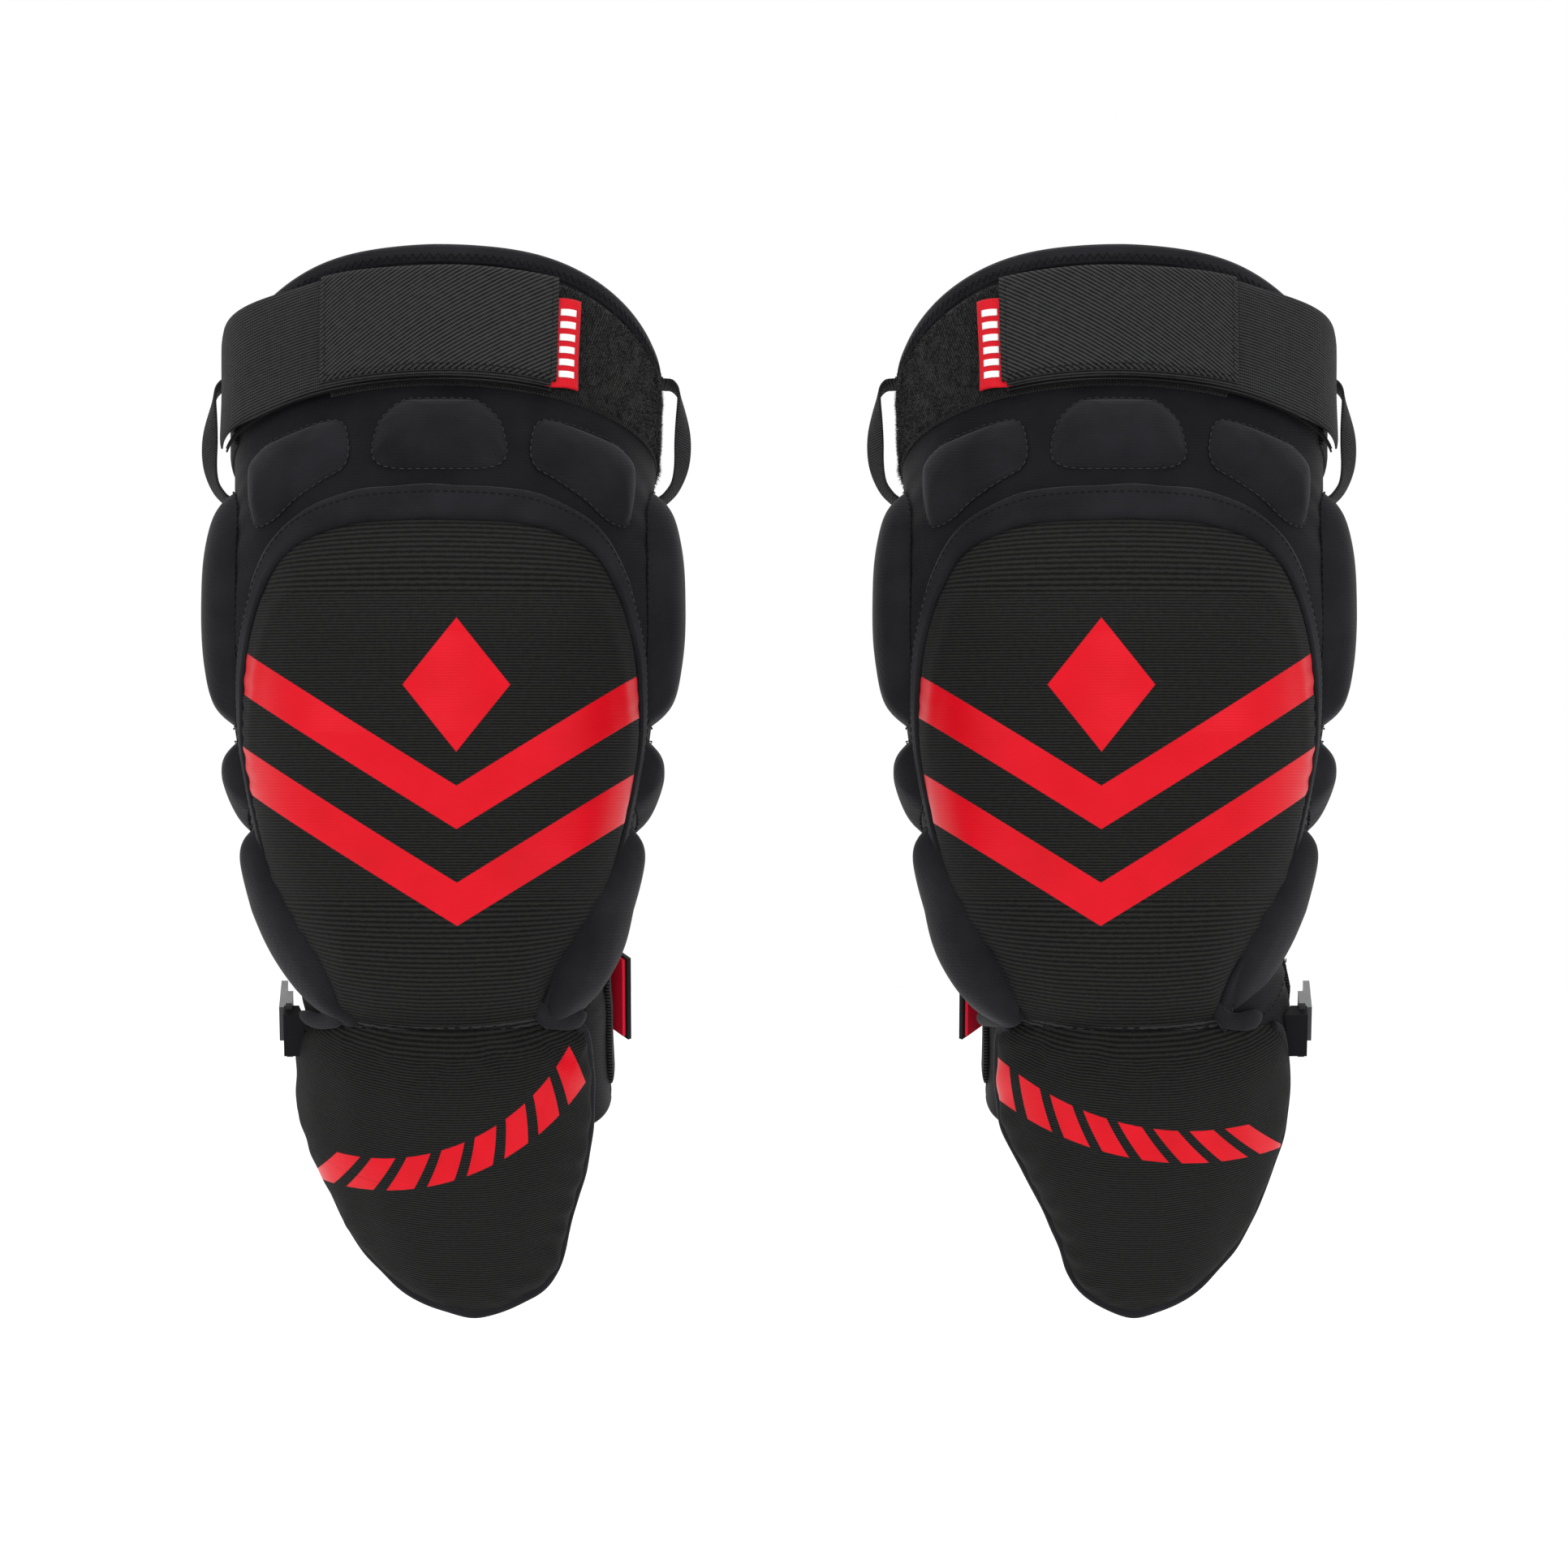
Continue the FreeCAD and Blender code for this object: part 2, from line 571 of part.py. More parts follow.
def tab_frame(shin):
    """The inner side's tab: its root and its direction towards the front, in the shin frame."""
    height = -TAB_TOP - TAB_WIDTH / 2
    at_root, at_end = (CALF_STRAP_THICKNESS + gap for gap in TAB_STAND_OFF)
    end_y = TAB_ROOT - TAB_LENGTH
    centre = shin.shift(height)
    root = V(centre + shin.side_at(height, TAB_ROOT, at_root), TAB_ROOT, height)
    end = V(centre + shin.side_at(height, end_y, at_end), end_y, height)
    return root, (end - root).normalize()


def tab_plate(shin, inside, outside, length, width):
    """A flat plate along the tab, between two distances outside its inner face."""
    root, along = tab_frame(shin)
    across = V(-along.y, along.x, 0)
    if across.x < 0:
        across = -across
    corners = [root + across * inside, root + along * length + across * inside]
    corners += [root + along * length + across * outside, root + across * outside]
    face = straight_outline([V(p.x, p.y, root.z - width / 2) for p in corners])
    return face.extrude(V(0, 0, width))


def calf_tab(shin):
    return tab_plate(shin, TAB_HOOK_THICKNESS, TAB_HOOK_THICKNESS + TAB_THICKNESS, TAB_LENGTH, TAB_WIDTH)


def calf_tab_hook(shin):
    return tab_plate(shin, 0.0, TAB_HOOK_THICKNESS, TAB_LENGTH - 2.0, TAB_WIDTH - 2.0)


def calf_tab_root(shin):
    """The sewn fold that carries the tab on the strap."""
    root, along = tab_frame(shin)
    low, high = root.z - TAB_WIDTH / 2, root.z + TAB_WIDTH / 2
    front = TAB_ROOT + TAB_FOLD_GAP
    reach = box((0, root.x - TAB_FOLD_BELOW), (front, front + TAB_FOLD_LENGTH), (low, high))
    return reach.cut(shin.solid(CALF_STRAP_THICKNESS))


def clip_place(shin):
    """Where the clip lies: the sleeve's outer side at its height, and the frame's rear bar along Y."""
    height = -CLIP_MIDDLE
    side = shin.shift(height) - shin.side_at(height, 0.0, PIPING_THICKNESS)
    return height, side - CLIP_STAND_OFF, FRAME_FRONT + FRAME_LENGTH


def clip_frame(shin):
    """A plastic loop held to the sleeve by a stitched tape, open in its middle for the clip's nose."""
    height, side, rear = clip_place(shin)
    low, high = height - FRAME_HEIGHT / 2, height + FRAME_HEIGHT / 2
    outer = box((side - FRAME_THICKNESS, side), (FRAME_FRONT, rear), (low, high))
    through = (side - FRAME_THICKNESS - 1.0, side + 1.0)
    window = box(through, (FRAME_FRONT + FRAME_BAR, rear - FRAME_BAR), (low + FRAME_BAR, high - FRAME_BAR))
    return outer.cut(window)


def clip_tape(shin):
    """The tape that wraps the frame's front bar and is sewn to the sleeve."""
    height, side, _ = clip_place(shin)
    low, high = height - FRAME_HEIGHT / 2 + FRAME_BAR, height + FRAME_HEIGHT / 2 - FRAME_BAR
    ahead = FRAME_FRONT - CLIP_TAPE_REACH
    outside = side - FRAME_THICKNESS - 0.8
    wrap = box((outside, side + 20.0), (ahead, FRAME_FRONT + FRAME_BAR + 0.8), (low, high))
    return wrap.cut(clip_frame(shin)).cut(shin.solid(PIPING_THICKNESS + 0.1))


def calf_clip(shin):
    """A plate with a slot for the strap at its rear and a nose that hooks the frame's rear bar."""
    height, side, rear = clip_place(shin)
    low, high = height - CLIP_HEIGHT / 2, height + CLIP_HEIGHT / 2
    inner = side - FRAME_THICKNESS - CLIP_FIT
    nose_front = rear - FRAME_BAR - CLIP_FIT - 2.2
    plate = box((inner - CLIP_THICKNESS, inner), (nose_front, nose_front + CLIP_LENGTH), (low, high))
    nose = box((inner - 1.0, side - 0.4), (nose_front, rear - FRAME_BAR - CLIP_FIT), (low + 1.5, high - 1.5))
    slot_back = nose_front + CLIP_LENGTH - 2.5
    slot = box((inner - REACH, inner + REACH), (slot_back - 2.4, slot_back), (low + 2.0, high - 2.0))
    return plate.fuse(nose).removeSplitter().cut(slot)


def clip_axis(shin):
    """A point on the line that the clip turns about: the middle of its rear bar."""
    height, side, rear = clip_place(shin)
    nose_front = rear - FRAME_BAR - CLIP_FIT - 2.2
    return V(side - FRAME_THICKNESS - CLIP_FIT - CLIP_THICKNESS / 2, nose_front + CLIP_LENGTH - 1.25, height)


# --- one guard ------------------------------------------------------------------------------------
def build_guard(leg):
    """Every piece of one guard, outer side at -X, with its leg axis on X = 0 and the lower bend at Z = 0."""
    mirror = 1 if leg == "right" else -1
    top_shift, tip_shift = (mirror * shift for shift in SHIN_SHIFT[leg])

    def shift(height):
        return top_shift + (tip_shift - top_shift) * min(1.0, max(0.0, -height / SHIN_LENGTH))

    thigh = Length(profile(THIGH_ROWS, THIGH_LENGTH, THIGH_HALF_WIDTH))
    knee = Length(profile(KNEE_ROWS, KNEE_LENGTH, KNEE_HALF_WIDTH))
    shin = Length(profile(SHIN_ROWS, SHIN_LENGTH, SHIN_HALF_WIDTH), shift)
    cup_foam, cup_shell, cup_cover = knee_cup(knee)
    plate_foam, plate_shell, plate_cover = shin_plate(shin)
    in_thigh = {
        "thigh_sleeve": [thigh_sleeve(thigh)],
        "thigh_back_panel": [thigh_back_panel(thigh)],
        "top_binding": [top_binding(thigh)],
        "cuff_pads": cuff_pads(thigh),
        "thigh_loop_pad": [thigh_loop_pad(thigh)],
        "thigh_strap_anchor": [thigh_strap_anchor(thigh)],
        "thigh_strap": [thigh_strap(thigh)],
        "thigh_hook_patch": [thigh_hook_patch(thigh)],
        "thigh_strap_label": [thigh_strap_label(thigh)],
        "outer_pull_loop": [pull_loop(thigh, -1)],
        "inner_pull_loop": [pull_loop(thigh, 1)],
    }
    in_knee = {
        "knee_sleeve": [knee_sleeve(knee)],
        "knee_foam": [cup_foam],
        "knee_shell": [cup_shell],
        "knee_cover": [cup_cover],
        "knee_piping": [knee_piping(knee)],
        "outer_side_pads": side_pads(knee, thigh, -1),
        "inner_side_pads": side_pads(knee, thigh, 1),
    }
    in_shin = {
        "shin_sleeve": [shin_sleeve(shin)],
        "calf_panel": [calf_panel(shin)],
        "shin_foam": [plate_foam],
        "shin_shell": [plate_shell],
        "shin_cover": [plate_cover],
        "shin_piping": [shin_piping(shin)],
        "calf_strap": [calf_strap(shin), calf_tab_root(shin)],
        "calf_tab": [calf_tab(shin)],
        "calf_tab_hook": [calf_tab_hook(shin)],
        "clip_frame": [clip_frame(shin)],
        "clip_tape": [clip_tape(shin)],
        "calf_clip": [calf_clip(shin)],
    }
    pieces = {}
    for name, shapes in in_thigh.items():
        pieces[name] = [tilted(s, -THIGH_TILT, KNEE_LENGTH) for s in shapes]
    pieces.update(in_knee)
    for name, shapes in in_shin.items():
        pieces[name] = [tilted(s, SHIN_TILT, 0.0) for s in shapes]
    return pieces, thigh, knee, shin


def set_down(shape, leg, drop):
    """Moves a piece of one guard to its place in the pair; the left guard is the right one's mirror image."""
    placed = shape.mirror(V(0, 0, 0), V(1, 0, 0)) if leg == "left" else shape.copy()
    placed.translate(V(GUARD_SPACING / 2 * (1 if leg == "left" else -1), drop[0], drop[1]))
    return placed


def origin_shift(guards):
    """How far the guards move along Y and Z to stand on the origin, in the middle from front to back."""
    shapes = [shape for pieces, *_ in guards.values() for listed in pieces.values() for shape in listed]
    boxes = [shape.optimalBoundingBox(False) for shape in shapes]
    front, back = min(b.YMin for b in boxes), max(b.YMax for b in boxes)
    return -(front + back) / 2, -min(b.ZMin for b in boxes)


GUARDS = {leg: build_guard(leg) for leg in ("right", "left")}
DROP = origin_shift(GUARDS)


def export_all():
    os.makedirs("parts", exist_ok=True)
    for leg, (pieces, *_) in GUARDS.items():
        for name, shapes in pieces.items():
            solids = [solid for shape in shapes for solid in set_down(shape, leg, DROP).Solids]
            if not solids or any(not s.isValid() or s.Volume <= 0 for s in solids):
                raise ValueError(f"{leg}_{name} has no sound solid")
            whole = solids[0] if len(solids) == 1 else Part.makeCompound(solids)
            whole.exportStep(f"parts/{leg}_{name}.step")


def print_hinges():
    """Each hinge: a point on its axis in its own length's frame, and its range in degrees."""
    for leg, (_, thigh, _, shin) in GUARDS.items():
        print(leg, "cuff_flex", CUFF_HINGE, CUFF_FLEX)
        print(leg, "shin_flex", SHIN_HINGE, SHIN_FLEX)
        print(leg, "strap_peel", flap_axis(thigh), PEEL)
        print(leg, "inner_loop_swing", loop_ends(thigh, 1), LOOP_SWING)
        print(leg, "tab_peel", tab_frame(shin)[0], TAB_PEEL)
        print(leg, "clip_swing", clip_axis(shin), CLIP_SWING)


export_all()
print_hinges()
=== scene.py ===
import json
import math

import bmesh
import bpy
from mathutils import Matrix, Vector
import numpy as np


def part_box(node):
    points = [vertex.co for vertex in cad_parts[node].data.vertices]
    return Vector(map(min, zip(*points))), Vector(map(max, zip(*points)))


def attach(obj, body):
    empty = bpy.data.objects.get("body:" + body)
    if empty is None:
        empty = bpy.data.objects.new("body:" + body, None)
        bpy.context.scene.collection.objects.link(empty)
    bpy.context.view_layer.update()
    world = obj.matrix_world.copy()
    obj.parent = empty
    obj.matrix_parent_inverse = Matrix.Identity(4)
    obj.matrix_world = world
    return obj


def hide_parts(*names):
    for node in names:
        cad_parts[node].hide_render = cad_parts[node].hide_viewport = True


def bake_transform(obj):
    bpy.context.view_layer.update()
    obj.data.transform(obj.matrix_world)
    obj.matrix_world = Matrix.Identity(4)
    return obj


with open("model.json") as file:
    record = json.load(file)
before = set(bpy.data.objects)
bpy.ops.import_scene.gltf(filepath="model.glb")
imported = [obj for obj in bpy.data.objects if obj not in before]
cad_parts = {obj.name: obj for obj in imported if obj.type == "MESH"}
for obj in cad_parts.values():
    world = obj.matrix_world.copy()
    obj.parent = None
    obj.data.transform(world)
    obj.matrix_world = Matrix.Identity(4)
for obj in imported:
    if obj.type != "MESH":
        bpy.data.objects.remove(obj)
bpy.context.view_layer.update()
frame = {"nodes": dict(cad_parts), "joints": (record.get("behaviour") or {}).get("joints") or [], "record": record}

# The geometry is worked out in millimetres, and Solid.make() turns it into metres.
MM = 1000.0
RECORD = frame["record"]
JOINTS = {joint["name"]: joint for joint in frame["joints"]}
MOUNTS = {mount["name"]: mount for mount in RECORD["mounts"]}

# --- the leg: rows of height above the lower bend, half width, front reach and back reach ---------
PROFILE = np.array([
    (-150, 44.5, 39.5, 40), (-141, 47, 40.3, 40.8), (-120, 52, 42.8, 43.2), (-98, 57.5, 45.9, 46.8),
    (-75, 61.5, 50.0, 51.4), (-62, 60.5, 51, 52.4), (-34, 60, 53.9, 55.2), (-8, 61.5, 55.5, 56.2),
    (0, 63.9, 57, 56.4),
    (40, 75.3, 58.9, 57), (85, 83.1, 60.1, 57.6), (125, 87, 61.1, 57.6), (155, 86.5, 61.6, 57.6),
    (172, 83.5, 62.5, 58), (191, 84, 63.9, 60), (227, 84.8, 65.7, 61.8), (280, 85.7, 67, 63),
])
PROFILE_WIDEST = 88.0
THIGH_TILT = math.radians(30)
SHIN_TILT = math.radians(25)
BEND_REACH = 20.0  # each bend is an arc from this far before it to this far after it
SHIN_HINGE_BELOW = 14.0
KNEE = 160.0  # from the lower bend to the upper one
CUFF_TOP = 100.0  # from the upper bend to the cuff's top edge, at its middle
NEOPRENE = 3.0
SEAM_ANGLE = math.radians(106)  # where the neoprene front meets the mesh back


class Leg:
    """Turns an angle round the leg, a height up it and a distance off the sleeve into a place."""

    def __init__(self, side):
        self.side = side
        self.sign = 1 if side == "right" else -1
        at = MOUNTS[f"{side}_leg"]["pos_m"]
        self.x, self.y = at[0] * MM, at[1] * MM
        self.low = JOINTS[f"{side}_shin_flex"]["pos_m"][2] * MM + SHIN_HINGE_BELOW
        low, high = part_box(f"{side}_knee_sleeve")
        self.scale = (high.x - low.x) * MM / 2 / PROFILE_WIDEST
        low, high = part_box(f"{side}_calf_panel")
        self.top_shift = self.sign * ((low.x + high.x) * MM / 2 - self.x)
        tip = min(frame["nodes"][f"{side}_shin_cover"].data.vertices, key=lambda v: v.co.z).co.x
        self.tip_shift = self.sign * (tip * MM - self.x)
        self.heights = np.arange(-170.0, 290.0, 1.0)
        kernel = np.exp(-0.5 * (np.arange(-20, 21) / 7.0) ** 2)
        kernel /= kernel.sum()
        self.columns = []
        for column in (1, 2, 3):
            values = np.interp(self.heights, PROFILE[:, 0], PROFILE[:, column])
            padded = np.concatenate([np.full(20, values[0]), values, np.full(20, values[-1])])
            self.columns.append(np.convolve(padded, kernel, "valid") * (self.scale if column == 1 else 1.0))

    def section(self, t):
        return [np.interp(t, self.heights, column) for column in self.columns]

    def shift(self, t):
        """How far the shin hangs towards the inner side."""
        down = np.interp(t, [-141, -98, -71, -20, 8], [1.0, 0.45, 0.2, 0.0, 0.0])
        return (self.top_shift + (self.tip_shift - self.top_shift) * down) * np.interp(t, [-25, 15], [1, 0])

    def axis(self, t):
        """The leg axis at a height: its Y, its Z and how far it leans back."""
        t = np.asarray(t, float)
        reach, up, down = BEND_REACH, THIGH_TILT, SHIN_TILT
        high_radius, low_radius = reach / math.tan(up / 2), reach / math.tan(down / 2)
        a = np.clip((t - KNEE + reach) / (2 * reach), 0, 1) * up
        b = np.clip((reach - t) / (2 * reach), 0, 1) * down
        beyond = np.maximum(t - KNEE - reach, 0)
        below = np.maximum(-t - reach, 0)
        y = high_radius * (1 - np.cos(a)) + beyond * math.sin(up)
        y = y + low_radius * (1 - np.cos(b)) + below * math.sin(down)
        z = np.where(t > KNEE - reach, KNEE - reach + high_radius * np.sin(a) + beyond * math.cos(up), t)
        z = np.where(t < reach, reach - low_radius * np.sin(b) - below * math.cos(down), z)
        return y, z, a - b

    def place(self, phi, t, off=0.0, rise=0.0):
        """A place in the row frame: phi is 0 at the front and grows to the inner side."""
        phi, t, off, rise = np.broadcast_arrays(*(np.asarray(v, float) for v in (phi, t, off, rise)))
        width, front, back = self.section(t)
        s, c = np.sin(phi), np.cos(phi)
        reach = np.where(c > 0, front + rise, back)
        nu, ny = s / width, -c / reach
        size = np.hypot(nu, ny)
        u = width * s + off * nu / size + self.shift(t)
        local_y = -reach * c + off * ny / size
        y, z, lean = self.axis(t)
        return np.stack([self.x + self.sign * u, self.y + y + local_y * np.cos(lean),
                         self.low + z - local_y * np.sin(lean)], -1)

    def seen(self, x, z, off=3.0):
        """The angle and the height of what the front view shows at x and z from the lower bend."""
        x, z = np.asarray(x, float), np.asarray(z, float)
        t = z.copy()
        for _ in range(25):
            width, front, _ = self.section(t)
            phi = np.arcsin(np.clip((x - self.shift(t)) / (width + off), -1, 1))
            _, height, lean = self.axis(t)
            t = t + 0.6 * (z - height - (front + off) * np.cos(phi) * np.sin(lean))
        return np.stack([phi, t], -1)

    def beside(self, y, t, side, off=0.0):
        """The angle of a place at y behind the leg axis, at one side."""
        y, t = np.asarray(y, float), np.asarray(t, float)
        _, front, back = self.section(t)
        phi = np.arccos(np.clip(-y / (np.where(y < 0, front, back) + off), -1, 1))
        return np.stack([side * phi, t + 0 * phi], -1)


# Distances along the skin, for outlines and weaves: an ellipse of the leg's usual girth.
ANGLES = np.linspace(-2 * math.pi, 2 * math.pi, 4001)
GIRTH = np.cumsum(np.hypot(80 * np.cos(ANGLES), 60 * np.sin(ANGLES))) * (ANGLES[1] - ANGLES[0])
GIRTH -= GIRTH[2000]


def along(phi):
    return np.interp(phi, ANGLES, GIRTH)


def angle(distance):
    return np.interp(distance, GIRTH, ANGLES)


def ripple(a, t, wavelength, seed):
    """Smooth unevenness between about -1 and 1 over a surface that is measured in millimetres."""
    random = np.random.RandomState(seed)
    total = np.zeros(np.broadcast(a, t).shape)
    for _ in range(6):
        turn, phase = random.uniform(0, 2 * np.pi), random.uniform(0, 2 * np.pi)
        scale = random.uniform(0.7, 1.5)
        way = a * np.cos(turn) + t * np.sin(turn)
        total = total + np.sin(2 * np.pi * way / (wavelength * scale) + phase)
    return total / 3.5


def smooth(points, count, closed=True):
    """A smooth curve through the points, evenly spaced."""
    p = np.asarray(points, float)
    if closed:
        p = np.concatenate([p[-1:], p, p[:2]])
    else:
        p = np.concatenate([2 * p[:1] - p[1:2], p, 2 * p[-1:] - p[-2:-1]])
    f = np.linspace(0, 1, 24, endpoint=False)[:, None]
    pieces = []
    for a, b, c, d in zip(p, p[1:], p[2:], p[3:]):
        square, cube = 2 * a - 5 * b + 4 * c - d, 3 * b - a - 3 * c + d
        pieces.append(0.5 * (2 * b + (c - a) * f + square * f**2 + cube * f**3))
    curve = np.concatenate(pieces + [p[-2:-1]])
    steps = np.concatenate([[0], np.cumsum(np.linalg.norm(np.diff(curve, axis=0), axis=1))])
    at = np.linspace(0, steps[-1], count, endpoint=not closed)
    return np.stack([np.interp(at, steps, curve[:, k]) for k in range(p.shape[1])], -1)


def step(value, low, high):
    """A smooth step from 0 at low to 1 at high."""
    f = np.clip((value - low) / (high - low), 0, 1)
    return f * f * (3 - 2 * f)


# --- meshes ---------------------------------------------------------------------------------------
class Solid:
    """Gathers closed surfaces, each from grids of points, into one mesh."""

    def __init__(self):
        self.points, self.faces, self.uvs, self.count = [], [], [], 0

    def add(self, points, uv=None):
        points = np.asarray(points, float).reshape(-1, 3)
        first = self.count
        self.points.append(points)
        self.uvs.append(np.zeros((len(points), 2)) if uv is None else np.asarray(uv, float).reshape(-1, 2))
        self.count += len(points)
        return first

    def quads(self, index):
        """Faces over a grid of vertex numbers."""
        a, b, c, d = index[:-1, :-1], index[:-1, 1:], index[1:, 1:], index[1:, :-1]
        self.faces.extend(np.stack([a, b, c, d], -1).reshape(-1, 4).tolist())

    def slab(self, outer, inner, uv=None):
        """A sheet between two grids of the same shape, closed all round its rim."""
        rows, cols = outer.shape[:2]
        a = self.add(outer, uv) + np.arange(rows * cols).reshape(rows, cols)
        b = self.add(inner, uv) + np.arange(rows * cols).reshape(rows, cols)
        self.quads(a)
        self.quads(b[:, ::-1])
        rim_a = np.concatenate([a[0, :-1], a[:-1, -1], a[-1, :0:-1], a[::-1, 0]])
        rim_b = np.concatenate([b[0, :-1], b[:-1, -1], b[-1, :0:-1], b[::-1, 0]])
        self.quads(np.stack([rim_b, rim_a]))

    def tube(self, rings, closed):
        """A tube from rings of points; an open one is capped."""
        count, around = rings.shape[:2]
        index = self.add(rings) + np.arange(count * around).reshape(count, around)
        index = np.concatenate([index, index[:, :1]], 1)
        if closed:
            index = np.concatenate([index, index[:1]], 0)
        else:
            self.faces.append(index[0, :-1].tolist()[::-1])
            self.faces.append(index[-1, :-1].tolist())
        self.quads(index)

    def dome(self, top, under, centre_top, centre_under, uv=None, centre_uv=(0, 0)):
        """A closed pad: rings of points from the middle out, above and below, that meet at the last ring."""
        rings, around = top.shape[:2]
        a = self.add(top, uv) + np.arange(rings * around).reshape(rings, around)
        b = self.add(under, uv) + np.arange(rings * around).reshape(rings, around)
        for index, centre, flip in ((a, centre_top, False), (b, centre_under, True)):
            middle = self.add([centre], [centre_uv])
            ring = np.concatenate([index, index[:, :1]], 1)
            self.quads(ring[:, ::-1] if flip else ring)
            for p, q in zip(ring[0], ring[0, 1:]):
                self.faces.append([middle, q, p] if flip else [middle, p, q])
        rim = np.stack([np.append(a[-1], a[-1][0]), np.append(b[-1], b[-1][0])])
        self.quads(rim)

    def make(self, name, material, body=None):
        mesh = bpy.data.meshes.new(name)
        points = np.concatenate(self.points) / MM
        mesh.from_pydata(points.tolist(), [], self.faces)
        uv = mesh.uv_layers.new(name="cloth")
        corners = np.empty(len(mesh.loops), np.int32)
        mesh.loops.foreach_get("vertex_index", corners)
        uv.data.foreach_set("uv", (np.concatenate(self.uvs)[corners] / MM).ravel())
        mesh.polygons.foreach_set("use_smooth", [True] * len(mesh.polygons))
        return finish_mesh(mesh, name, material, body)


def finish_mesh(mesh, name, material, body):
    """Turns the faces outwards, and makes the object."""
    work = bmesh.new()
    work.from_mesh(mesh)
    bmesh.ops.recalc_face_normals(work, faces=work.faces)
    work.to_mesh(mesh)
    work.free()
    mesh.materials.append(material)
    piece = bpy.data.objects.new(name, mesh)
    bpy.context.scene.collection.objects.link(piece)
    if body:
        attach(piece, body)
    return piece


def stand_in(piece, side, slot, *nodes):
    """Hides the CAD nodes that a piece is shown instead of; the piece and the slot are not used."""
    if nodes:
        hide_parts(*(f"{side}_{name}" for name in nodes))


def outline_distance(grid, outline):
    """How far each point of a grid is from an outline; both are angle and height."""
    p = np.stack([along(grid[..., 0]), grid[..., 1]], -1).reshape(-1, 2)
    q = np.stack([along(outline[:, 0]), outline[:, 1]], -1)
    nearest = np.full(len(p), 1e9)
    for start in range(0, len(q), 32):
        gap = p[:, None] - q[None, start:start + 32]
        nearest = np.minimum(nearest, np.hypot(gap[..., 0], gap[..., 1]).min(1))
    return nearest.reshape(grid.shape[:-1])


def pad(solid, leg, outline, rings, top, under, crowd=1.6):
    """Adds a closed pad over an outline. top and under give its distance off the sleeve, and top its rise."""
    centre = (outline.max(0) + outline.min(0)) / 2
    share = 1 - (1 - np.linspace(0, 1, rings + 1)[1:]) ** crowd
    grid = centre + share[:, None, None] * (outline - centre)[None]
    inside = outline_distance(grid, outline)
    inside[-1] = 0
    middle = outline_distance(centre[None], outline)
    uv = np.stack([along(grid[..., 0]), grid[..., 1]], -1)
    off, rise = top(inside, grid[..., 0], grid[..., 1])
    off_c, rise_c = top(middle, centre[:1], centre[1:])
    off_u, rise_u = under(inside, grid[..., 0], grid[..., 1])
    off_m, rise_m = under(middle, centre[:1], centre[1:])
    solid.dome(
        leg.place(grid[..., 0], grid[..., 1], off, rise),
        leg.place(grid[..., 0], grid[..., 1], off_u, rise_u),
        leg.place(centre[0], centre[1], off_c[0], rise_c[0]),
        leg.place(centre[0], centre[1], off_m[0], rise_m[0]),
        uv, (along(centre[0]), centre[1]),
    )


def edge_frame(path, closed):
    """A path's distances along the skin, and the direction across it."""
    p = np.stack([along(path[:, 0]), path[:, 1]], -1)
    if closed:
        ahead = np.roll(p, -1, 0) - np.roll(p, 1, 0)
    else:
        ahead = np.gradient(p, axis=0)
    ahead /= np.linalg.norm(ahead, axis=1)[:, None]
    return p, np.stack([ahead[:, 1], -ahead[:, 0]], -1)


def border(solid, leg, path, section, closed, wave=0.0, base=0.0, seed=1):
    """A band swept along a path on the skin. Its section's points are distances across and off the skin."""
    p, across = edge_frame(path, closed)
    wobble = wave * ripple(np.arange(len(p)) * 1.0, 0.0, 17.0, seed)
    rings = []
    for side, off in section:
        q = p + across * (side + wobble)[:, None]
        rings.append(leg.place(angle(q[:, 0]), q[:, 1], off + base))
    solid.tube(np.stack(rings, 1), closed)


def thread(solid, points, lift, length, gap, radius):
    """A row of stitches along a line of points; lift is the outward direction at each point."""
    steps = np.concatenate([[0], np.cumsum(np.linalg.norm(np.diff(points, axis=0), axis=1))])
    count = max(1, int(steps[-1] / (length + gap)))
    pitch = steps[-1] / count
    turns = np.linspace(0, 2 * np.pi, 6, endpoint=False)
    for k in range(count):
        at = k * pitch + gap / 2 + (pitch - gap) * np.array([0.0, 0.15, 0.5, 0.85, 1.0])
        line = np.stack([np.interp(at, steps, points[:, i]) for i in range(3)], -1)
        up = np.stack([np.interp(at, steps, lift[:, i]) for i in range(3)], -1)
        ahead = line[-1] - line[0]
        ahead /= max(np.linalg.norm(ahead), 1e-6)
        aside = np.cross(ahead, up[2])
        aside /= max(np.linalg.norm(aside), 1e-6)
        rings = []
        for share, place, out in zip((0.35, 0.9, 1.0, 0.9, 0.35), line, up):
            ring = place + out * radius * 0.6 * share
            round_it = np.cos(turns)[:, None] * aside + np.sin(turns)[:, None] * out
            rings.append(ring + radius * share * round_it)
        solid.tube(np.stack(rings), False)


def stitches(solid, leg, path, across=0.0, off=0.0, closed=True, length=2.4, gap=1.3, radius=0.32):
    """Stitches on the skin beside a path of angles and heights."""
    p, aside = edge_frame(path, closed)
    q = p + aside * across
    if closed:
        q = np.concatenate([q, q[:1]])
    low = leg.place(angle(q[:, 0]), q[:, 1], off)
    high = leg.place(angle(q[:, 0]), q[:, 1], off + 1.0)
    lift = high - low
    lift /= np.linalg.norm(lift, axis=1)[:, None]
    thread(solid, low, lift, length, gap, radius)


